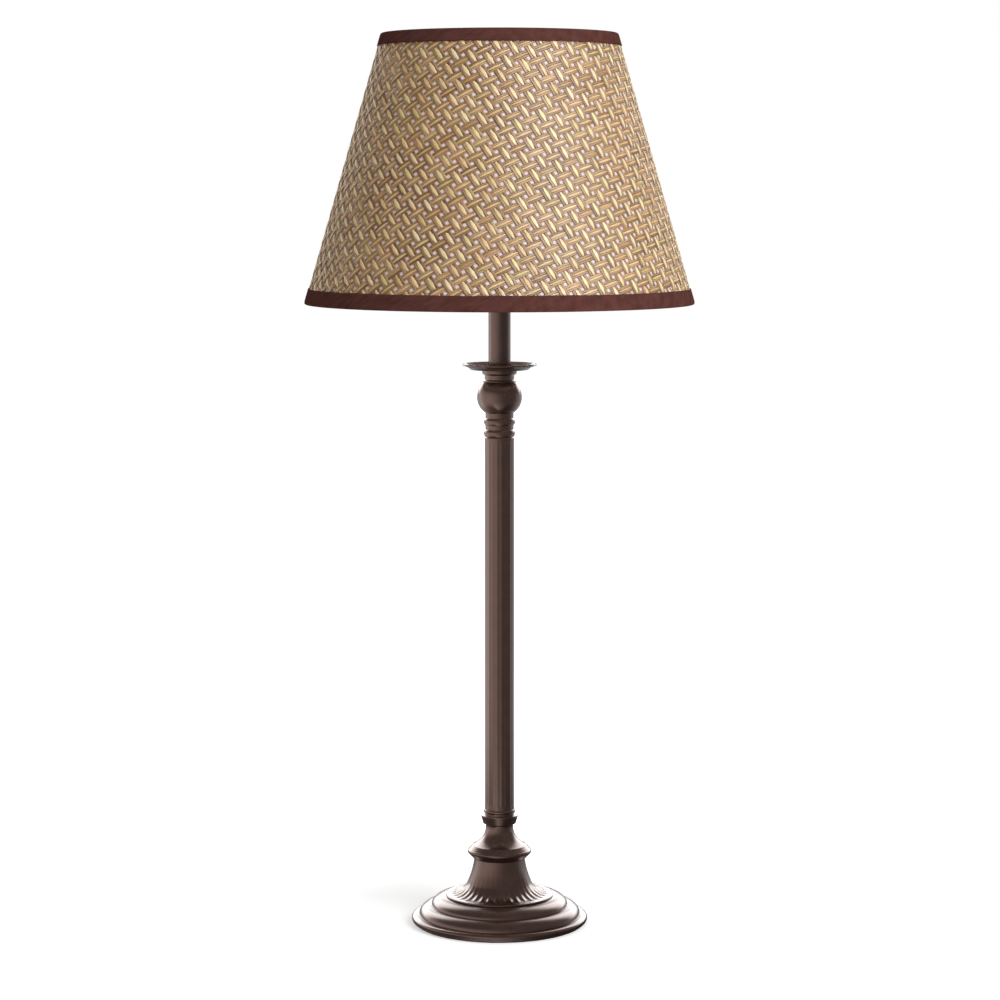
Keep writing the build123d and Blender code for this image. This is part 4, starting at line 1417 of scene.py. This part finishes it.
@dataclass
class FootCasting:
    """Lacquered casting: a thick rim, two round steps and the hollow for the weight."""

    rim_radius: float = 80.3
    rim_height: float = 8.0
    rim_under_round: float = 3.2
    rim_top_round: float = 2.8
    quirk_width: float = 0.9
    quirk_depth: float = 0.4
    quirk_round: float = 0.3
    lower_radius: float = 73.8
    lower_height: float = 17.0
    upper_radius: float = 62.4
    upper_height: float = 25.4
    seat_radius: float = 49.8
    wall: float = 4.2
    hollow_round: float = 0.8
    bore: float = 5.2
    felt: float = 1.5
    lower_recess: float = 63.5
    upper_recess: float = 49.6
    bush_height: float = 9.2
    bush_radius: float = 3.4
    spot_radius: float = 4.4
    spot_start: float = 71.5
    cutter_margin: float = 2.0
    cutter_sides: int = 48
    segments: int = 192
    round_steps: int = 7
    step_steps: int = 16
    sharp_over: float = 35.0

    def build(self) -> None:
        """Spin the casting and bore it for the cord bush."""
        quirk, deep, soft = self.quirk_width, self.quirk_depth, self.hollow_round
        lower_roof, upper_roof = self.lower_height - self.wall, self.upper_height - self.wall
        outline = rounded([
            (self.lower_recess, self.felt, 0.0),
            (self.rim_radius, self.felt, self.rim_under_round),
            (self.rim_radius, self.rim_height, self.rim_top_round),
            (self.lower_radius + 2 * quirk, self.rim_height, self.quirk_round),
            (self.lower_radius + quirk, self.rim_height - deep, 0.0),
        ], self.round_steps)
        outline += self.step_round(
            self.lower_radius, self.upper_radius + 2 * quirk, self.rim_height - deep, self.lower_height
        )
        outline.append((self.upper_radius + quirk, self.lower_height - deep))
        outline += self.step_round(
            self.upper_radius, self.seat_radius, self.lower_height - deep, self.upper_height
        )
        outline += rounded([
            (self.bore, self.upper_height, 0.0), (self.bore, upper_roof, 0.0),
            (self.upper_recess, upper_roof, soft), (self.upper_recess, lower_roof, soft),
            (self.lower_recess, lower_roof, soft), (self.lower_recess, self.felt, 0.0),
        ], self.round_steps)[:-1]
        piece = spin("foot_shell", outline, self.segments)
        self.drill(piece, self.bush_radius, self.lower_recess - self.wall)
        self.drill(piece, self.spot_radius, self.spot_start)
        hand_over(piece, BRONZE, Body.STAND, Slot.BRONZE, "foot_casting", sharp_over=self.sharp_over)

    def step_round(self, outer: float, inner: float, low: float, high: float) -> list[tuple[float, float]]:
        """Rounded side of a step, a quarter of an ellipse from its foot to its top.

        Args:
            outer: Radius at the foot.
            inner: Radius at the top.
            low: Level of the foot.
            high: Level of the top.

        Returns:
            Radius and level of each point.
        """
        turns = (math.pi / 2 * step / self.step_steps for step in range(self.step_steps + 1))
        return [
            (inner + (outer - inner) * math.cos(turn), low + (high - low) * math.sin(turn)) for turn in turns
        ]

    def drill(self, piece: bpy.types.Object, radius: float, start: float) -> None:
        """Cut a round hole from a radius outward through the back.

        Args:
            piece: The casting.
            radius: Radius of the hole, in millimetres.
            start: Distance from the axis at which it starts.
        """
        length = self.rim_radius + self.cutter_margin - start
        bpy.ops.mesh.primitive_cylinder_add(
            vertices=self.cutter_sides, radius=radius * MM, depth=length * MM,
            location=(0, (start + length / 2) * MM, self.bush_height * MM), rotation=(math.pi / 2, 0, 0),
        )
        cutter = bpy.context.object
        modifier = piece.modifiers.new("hole", "BOOLEAN")
        modifier.object = cutter
        modifier.solver = "EXACT"
        graph = bpy.context.evaluated_depsgraph_get()
        bored = bpy.data.meshes.new_from_object(piece.evaluated_get(graph), depsgraph=graph)
        piece.modifiers.clear()
        old = piece.data
        piece.data = bored
        bored.name = piece.name
        bpy.data.meshes.remove(old)
        bpy.data.objects.remove(cutter)


@dataclass
class Bell:
    """Fluted bell: a thin lip, a cove cut deep by flutes and a side where they fade out."""

    flutes: int = 36
    flute_sides: int = 12
    lip_radius: float = 49.0
    lip_thickness: float = 1.9
    lip_round: float = 0.8
    brim_radius: float = 46.2
    waist_radius: float = 29.4
    waist_rise: float = 11.8
    top_radius: float = 23.0
    side_bow: float = 0.9
    brim_depth: float = 2.0
    waist_depth: float = 0.14
    top_depth: float = 0.03
    start_rate: float = 3.2
    fade_rate: float = 2.2
    fade_start: float = 0.7
    side_fade_rate: float = 1.6
    cove_steps: int = 18
    side_steps: int = 16
    sharp_over: float = 50.0

    def build(self) -> None:
        """Spin the bell between the levels that the frame gives."""
        low, high = (corner.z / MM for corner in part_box("bell"))
        lip_top = low + self.lip_thickness
        lip = rounded([
            (0.0, low, 0.0), (self.lip_radius, low, self.lip_round),
            (self.lip_radius, lip_top, self.lip_round), (self.brim_radius, lip_top, 0.0),
        ], 4)[:-1]
        line, depths = zip(
            *((point, 0.0) for point in lip),
            *self.face(lip_top, low + self.waist_rise, high),
            ((0.0, high), 0.0),
        )
        piece = spin("fluted_bell", line, self.flutes * self.flute_sides, self.flutes, depths)
        hand_over(piece, BRONZE, Body.STAND, Slot.BRONZE, "bell", sharp_over=self.sharp_over)

    def face(self, lip_top: float, waist: float, top: float) -> Iterable[tuple[tuple[float, float], float]]:
        """Points up the fluted face, with the flutes' depth at each.

        Args:
            lip_top: Level of the lip's upper face.
            waist: Level where the cove meets the side.
            top: Level of the bell's top.

        Yields:
            Radius and level, and the depth.
        """
        run, rise = self.brim_radius - self.waist_radius, waist - lip_top
        radius = (run ** 2 + rise ** 2) / (2 * rise)
        sweep = math.atan2(run, radius - rise)
        for step in range(self.cove_steps + 1):
            share = step / self.cove_steps
            turn = sweep * share
            depth = self.brim_depth * math.sin(min(share * self.start_rate, 1.0) * math.pi / 2)
            faded = min(max(share * self.fade_rate - self.fade_start, 0.0), 1.0)
            depth += (self.waist_depth - self.brim_depth) * faded
            yield (self.brim_radius - radius * math.sin(turn), lip_top + radius * (1 - math.cos(turn))), depth
        for step in range(1, self.side_steps + 1):
            share = step / self.side_steps
            bow = self.side_bow * math.sin(math.pi * share)
            reach = self.waist_radius + (self.top_radius - self.waist_radius) * share - bow
            faded = min(share * self.side_fade_rate, 1.0)
            depth = self.waist_depth + (self.top_depth - self.waist_depth) * faded
            yield (reach, waist + (top - waist) * share), depth if step < self.side_steps else 0.0


@dataclass
class Column:
    """Column with shallow flutes between two plain bands."""

    flutes: int = 20
    flute_sides: int = 12
    flute_depth: float = 0.2
    flute_power: float = 0.8
    band: float = 1.6
    rings: int = 60
    sharp_over: float = 60.0

    def build(self) -> None:
        """Run the column's nodes between the levels and the radius that the frame gives."""
        low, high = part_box("column")
        made = GeometryTree("column_shape", {
            "Material": BRONZE.material(), "Flutes": self.flutes, "Sides": self.flutes * self.flute_sides,
            "Rings": self.rings, "Radius": high.x, "Height": high.z - low.z, "Foot": low.z,
            "Depth": self.flute_depth * MM, "Band": self.band * MM,
        })
        radius, height, band = (made.size_of(name) for name in ("Radius", "Height", "Band"))
        tube = made.tube("Sides", "Rings", radius, height)
        x, y, z = made.place()
        half = height * 0.5
        # Rings gather towards both ends, where the flutes run out
        share = z / half
        level = (share * 1.5 - share * share * share * 0.5) * half
        fluted = ((half - level.size() - band) / band).between(0.0, 1.0)
        groove = (y.sum_of("ARCTAN2", x) * made.size_of("Flutes")).cosine() * 0.5 + 0.5
        scale = groove.sum_of("POWER", self.flute_power) * fluted * made.size_of("Depth") / radius
        scale = scale.remainder()
        made.finish(made.move(tube, x * scale, y * scale, level + half + made.size_of("Foot")))
        piece = made.make("fluted_column")
        hand_over(piece, BRONZE, Body.STAND, Slot.BRONZE, "column", sharp_over=self.sharp_over)


@dataclass
class NeckRing:
    """Turned neck under the pan: a band, a hollow and a small foot on the ball."""

    band_radius: float = 15.6
    band_height: float = 3.4
    hollow_radius: float = 13.2
    foot_radius: float = 14.4
    foot_height: float = 1.1
    foot_rounds: Span = (0.3, 0.4)
    hollow_rounds: Span = (1.2, 1.6)
    band_rounds: Span = (0.8, 0.5)
    foot_cove: float = 0.5
    band_cove: float = 1.6
    bore: float = 5.2
    segments: int = 128
    sharp_over: float = 50.0

    def build(self) -> None:
        """Spin the neck between the levels that the frame gives."""
        low, high = (corner.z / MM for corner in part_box("neck_ring"))
        band, foot = high - self.band_height, low + self.foot_height
        corners = (
            (self.foot_radius, low), (self.foot_radius, foot),
            (self.hollow_radius, foot + self.foot_cove), (self.hollow_radius, band - self.band_cove),
            (self.band_radius, band), (self.band_radius, high),
        )
        rounds = (*self.foot_rounds, *self.hollow_rounds, *self.band_rounds)
        piece = spin("turned_neck", rounded([
            (self.bore, low, 0.0), *((*corner, size) for corner, size in zip(corners, rounds)),
            (self.bore, high, 0.0),
        ]), self.segments)
        hand_over(piece, BRONZE, Body.STAND, Slot.BRONZE, "neck_ring", sharp_over=self.sharp_over)


@dataclass
class FeltPad:
    """Felt disc glued under the foot, with a soft, slightly ragged edge."""

    edge_wander: float = 0.35
    edge_drop: float = 0.25
    edge_width: float = 0.04
    wander_power: int = 8
    waves: Sequence[int] = (9, 23, 47, 101)
    rings: int = 26
    segments: int = 240
    nap: float = 0.06

    def build(self) -> None:
        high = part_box("felt_pad")[1]
        radius, thickness = high.x / MM, high.z / MM
        draw = random.Random(SEED)
        waves = [(count, draw.uniform(0, 2 * math.pi)) for count in self.waves]
        made, levels = bmesh.new(), []
        for upward, level in ((1, 0.0), (-1, thickness)):
            rings = []
            for ring in range(1, self.rings + 1):
                share = ring / self.rings
                drop = self.edge_drop * max(share - (1 - self.edge_width), 0.0) / self.edge_width
                line = []
                for segment in range(self.segments):
                    turn = 2 * math.pi * segment / self.segments
                    wander = sum(math.sin(count * turn + phase) for count, phase in waves) / len(waves)
                    reach = radius * share + self.edge_wander * (wander * share ** self.wander_power - 1)
                    height = level + upward * (draw.uniform(0.0, self.nap) + drop)
                    place = (reach * math.sin(turn), -reach * math.cos(turn), height)
                    line.append(made.verts.new([value * MM for value in place]))
                rings.append(line)
            levels.append((made.verts.new((0, 0, level * MM)), rings))
        for middle, rings in levels:
            self.bridge(made, [middle] * self.segments, rings[0])
            for inner, outer in zip(rings, rings[1:]):
                self.bridge(made, inner, outer)
        self.bridge(made, levels[0][1][-1], levels[1][1][-1])
        piece = as_piece("felt_disc", made)
        hand_over(piece, FELT, Body.STAND, Slot.FELT, "felt_pad")

    def bridge(self, made: bmesh.types.BMesh, inner: Sequence, outer: Sequence) -> None:
        """Join two rings of corners with faces, or a middle with a ring.

        Args:
            made: The mesh.
            inner: Corners of the inner ring, or the middle for each corner.
            outer: Corners of the outer ring.
        """
        for index in range(len(outer)):
            after = (index + 1) % len(outer)
            corners = [inner[index], outer[index], outer[after], inner[after]]
            if corners[0] is corners[3]:
                corners.pop()
            made.faces.new(corners)


@dataclass
class EdgeTape:
    """Cotton tape folded over one edge of the shade, round its ring wire."""

    name: str
    stands_for: str
    cone: Cone
    at_top: bool
    outer_leg: float
    fold_rise: float
    thickness: float = 0.62
    inner_leg: float = 8.4
    outer_offset: float = 0.46
    inner_offset: float = -5.28
    fold_round: float = 1.15
    segments: int = 300
    leg_steps: int = 6
    round_steps: int = 4
    edge_wander: float = 0.22
    puff: float = 0.07
    waves: Sequence[tuple[int, float, float]] = ((7, 0.4, 0.3), (17, 0.35, 1.9), (41, 0.25, 4.1))

    def build(self) -> None:
        line = self.centre_line()
        width = sum(math.dist(a, b) for a, b in zip(line, line[1:]))
        piece = self.mesh(self.outline(line))
        hand_over(piece, TAPE, Body.SHADE, Slot.TAPE, self.stands_for)
        edge_radius = self.cone.top_radius if self.at_top else self.cone.bottom_radius
        length = 2 * math.pi * (edge_radius + self.inner_offset / 2 * MM)
        log.info("%s: flat %.1f by %.0f mm", self.name, width, length / MM)

    def centre_line(self) -> list[tuple[float, float]]:
        """Middle of the tape's thickness, as offset from the weave and way in from the edge.

        Returns:
            Offset and way in of each point, in millimetres.
        """
        turn = self.fold_round
        line = [
            (self.outer_offset, self.outer_leg - step * (self.outer_leg - turn) / self.leg_steps)
            for step in range(self.leg_steps)
        ]
        for corner, first in ((self.outer_offset - turn, 0.0), (self.inner_offset + turn, math.pi / 2)):
            for step in range(self.round_steps + 1):
                angle = first + math.pi / 2 * step / self.round_steps
                inward = turn - (turn + self.fold_rise) * math.sin(angle)
                line.append((corner + turn * math.cos(angle), inward))
        line += [
            (self.inner_offset, turn + step * (self.inner_leg - turn) / self.leg_steps)
            for step in range(1, self.leg_steps + 1)
        ]
        return line

    def outline(self, line: Sequence[tuple[float, float]]) -> list[tuple[float, float, float]]:
        """Closed outline round the centre line.

        Args:
            line: The centre line.

        Returns:
            Offset, way in from the edge and way across the tape, for each corner.
        """
        first, second, across = [], [], 0.0
        for index, (offset, inward) in enumerate(line):
            before, after = line[max(index - 1, 0)], line[min(index + 1, len(line) - 1)]
            across += math.dist(before, (offset, inward))
            run = Vector((after[0] - before[0], after[1] - before[1])).normalized()
            side = Vector((-run.y, run.x)) * self.thickness / 2
            first.append((offset + side.x, inward + side.y, across))
            second.append((offset - side.x, inward - side.y, across))
        return first + second[::-1]

    def mesh(self, outline: Sequence[tuple[float, float, float]]) -> bpy.types.Object:
        """Turn the outline round the cone, with the small unevenness of a tape put on by hand.

        Args:
            outline: The closed outline.

        Returns:
            The tape, with its threads' directions kept in the strip attribute.
        """
        made, rings, strips = bmesh.new(), [], []
        edge, inwards = (self.cone.high, -1) if self.at_top else (self.cone.low, 1)
        for segment in range(self.segments):
            turn = 2 * math.pi * segment / self.segments
            wander = self.unevenness(turn)
            ring = []
            for offset, inward, across in outline:
                free = min(max(inward / self.outer_leg, 0.0), 1.0)
                level = edge + inwards * (inward + wander * self.edge_wander * free) * MM
                swell = self.puff * self.unevenness(turn + across) * (1 - free)
                radius = self.cone.bottom_radius - self.cone.slope * (level - self.cone.low)
                radius += (offset + swell) * MM
                ring.append(made.verts.new((radius * math.sin(turn), -radius * math.cos(turn), level)))
                strips += (turn * radius / MM, across, 0.0)
            rings.append(ring)
        close_round(made, rings)
        piece = as_piece(self.name, made)
        piece.data.attributes.new("strip", "FLOAT_VECTOR", "POINT").data.foreach_set("vector", strips)
        return piece

    def unevenness(self, turn: float) -> float:
        """A slow wave round the shade, between -1 and 1, that closes on itself.

        Args:
            turn: Turn round the shade, in radians.

        Returns:
            The wave's height.
        """
        whole = round(turn / (2 * math.pi), 6)
        return sum(size * math.sin(2 * math.pi * count * whole + phase) for count, size, phase in self.waves)


CAD_FINISHES: tuple[tuple[Finish, str], ...] = (
    (BRONZE, "foot_casting bell bell_cap column_socket column bead_collar ball_knop neck_ring drip_pan"),
    (BRONZE, "candle_tube candle_plug"),
    (IRON, "foot_weight"),
    (FELT, "felt_pad"),
    (BUSH, "cord_bush"),
    (ZINC, "stem_rod rod_nut rod_washer"),
    (ENAMEL, "gimbal_plate gimbal_arms top_wire bottom_wire"),
    (MOULDING, "holder_cap holder_skirt retaining_ring switch_buttons"),
    (BAR_METAL, "switch_bar"),
    (PORCELAIN, "holder_insulator"),
    (BRASS, "screw_shell centre_contact terminal_screws bulb_contact"),
    (BACKING, "shade_backing"),
    (STRAW, "shade_weave"),
    (TAPE, "top_trim bottom_trim"),
    (GLASS, "bulb_glass"),
    (ALUMINIUM, "bulb_cap"),
    (BULB_BLACK, "bulb_insulator"),
)


def main() -> None:
    """Build the lamp's looks in order, and report each piece."""
    logging.basicConfig(level=logging.INFO, format="%(name)s %(message)s")
    glossed = Studio().build()
    for finish, names in CAD_FINISHES:
        for name in names.split():
            dress(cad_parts[name], finish)
    for part in (FootCasting(), FeltPad(), Bell(), Column(), NeckRing()):
        part.build()
    cone = Cone.from_frame()
    WovenCover(cone).build(glossed)
    EdgeTape("upper_tape", "top_trim", cone, at_top=True, outer_leg=10.2, fold_rise=0.6).build()
    EdgeTape("lower_tape", "bottom_trim", cone, at_top=False, outer_leg=11.6, fold_rise=1.9).build()


if __name__ == "__main__":
    main()
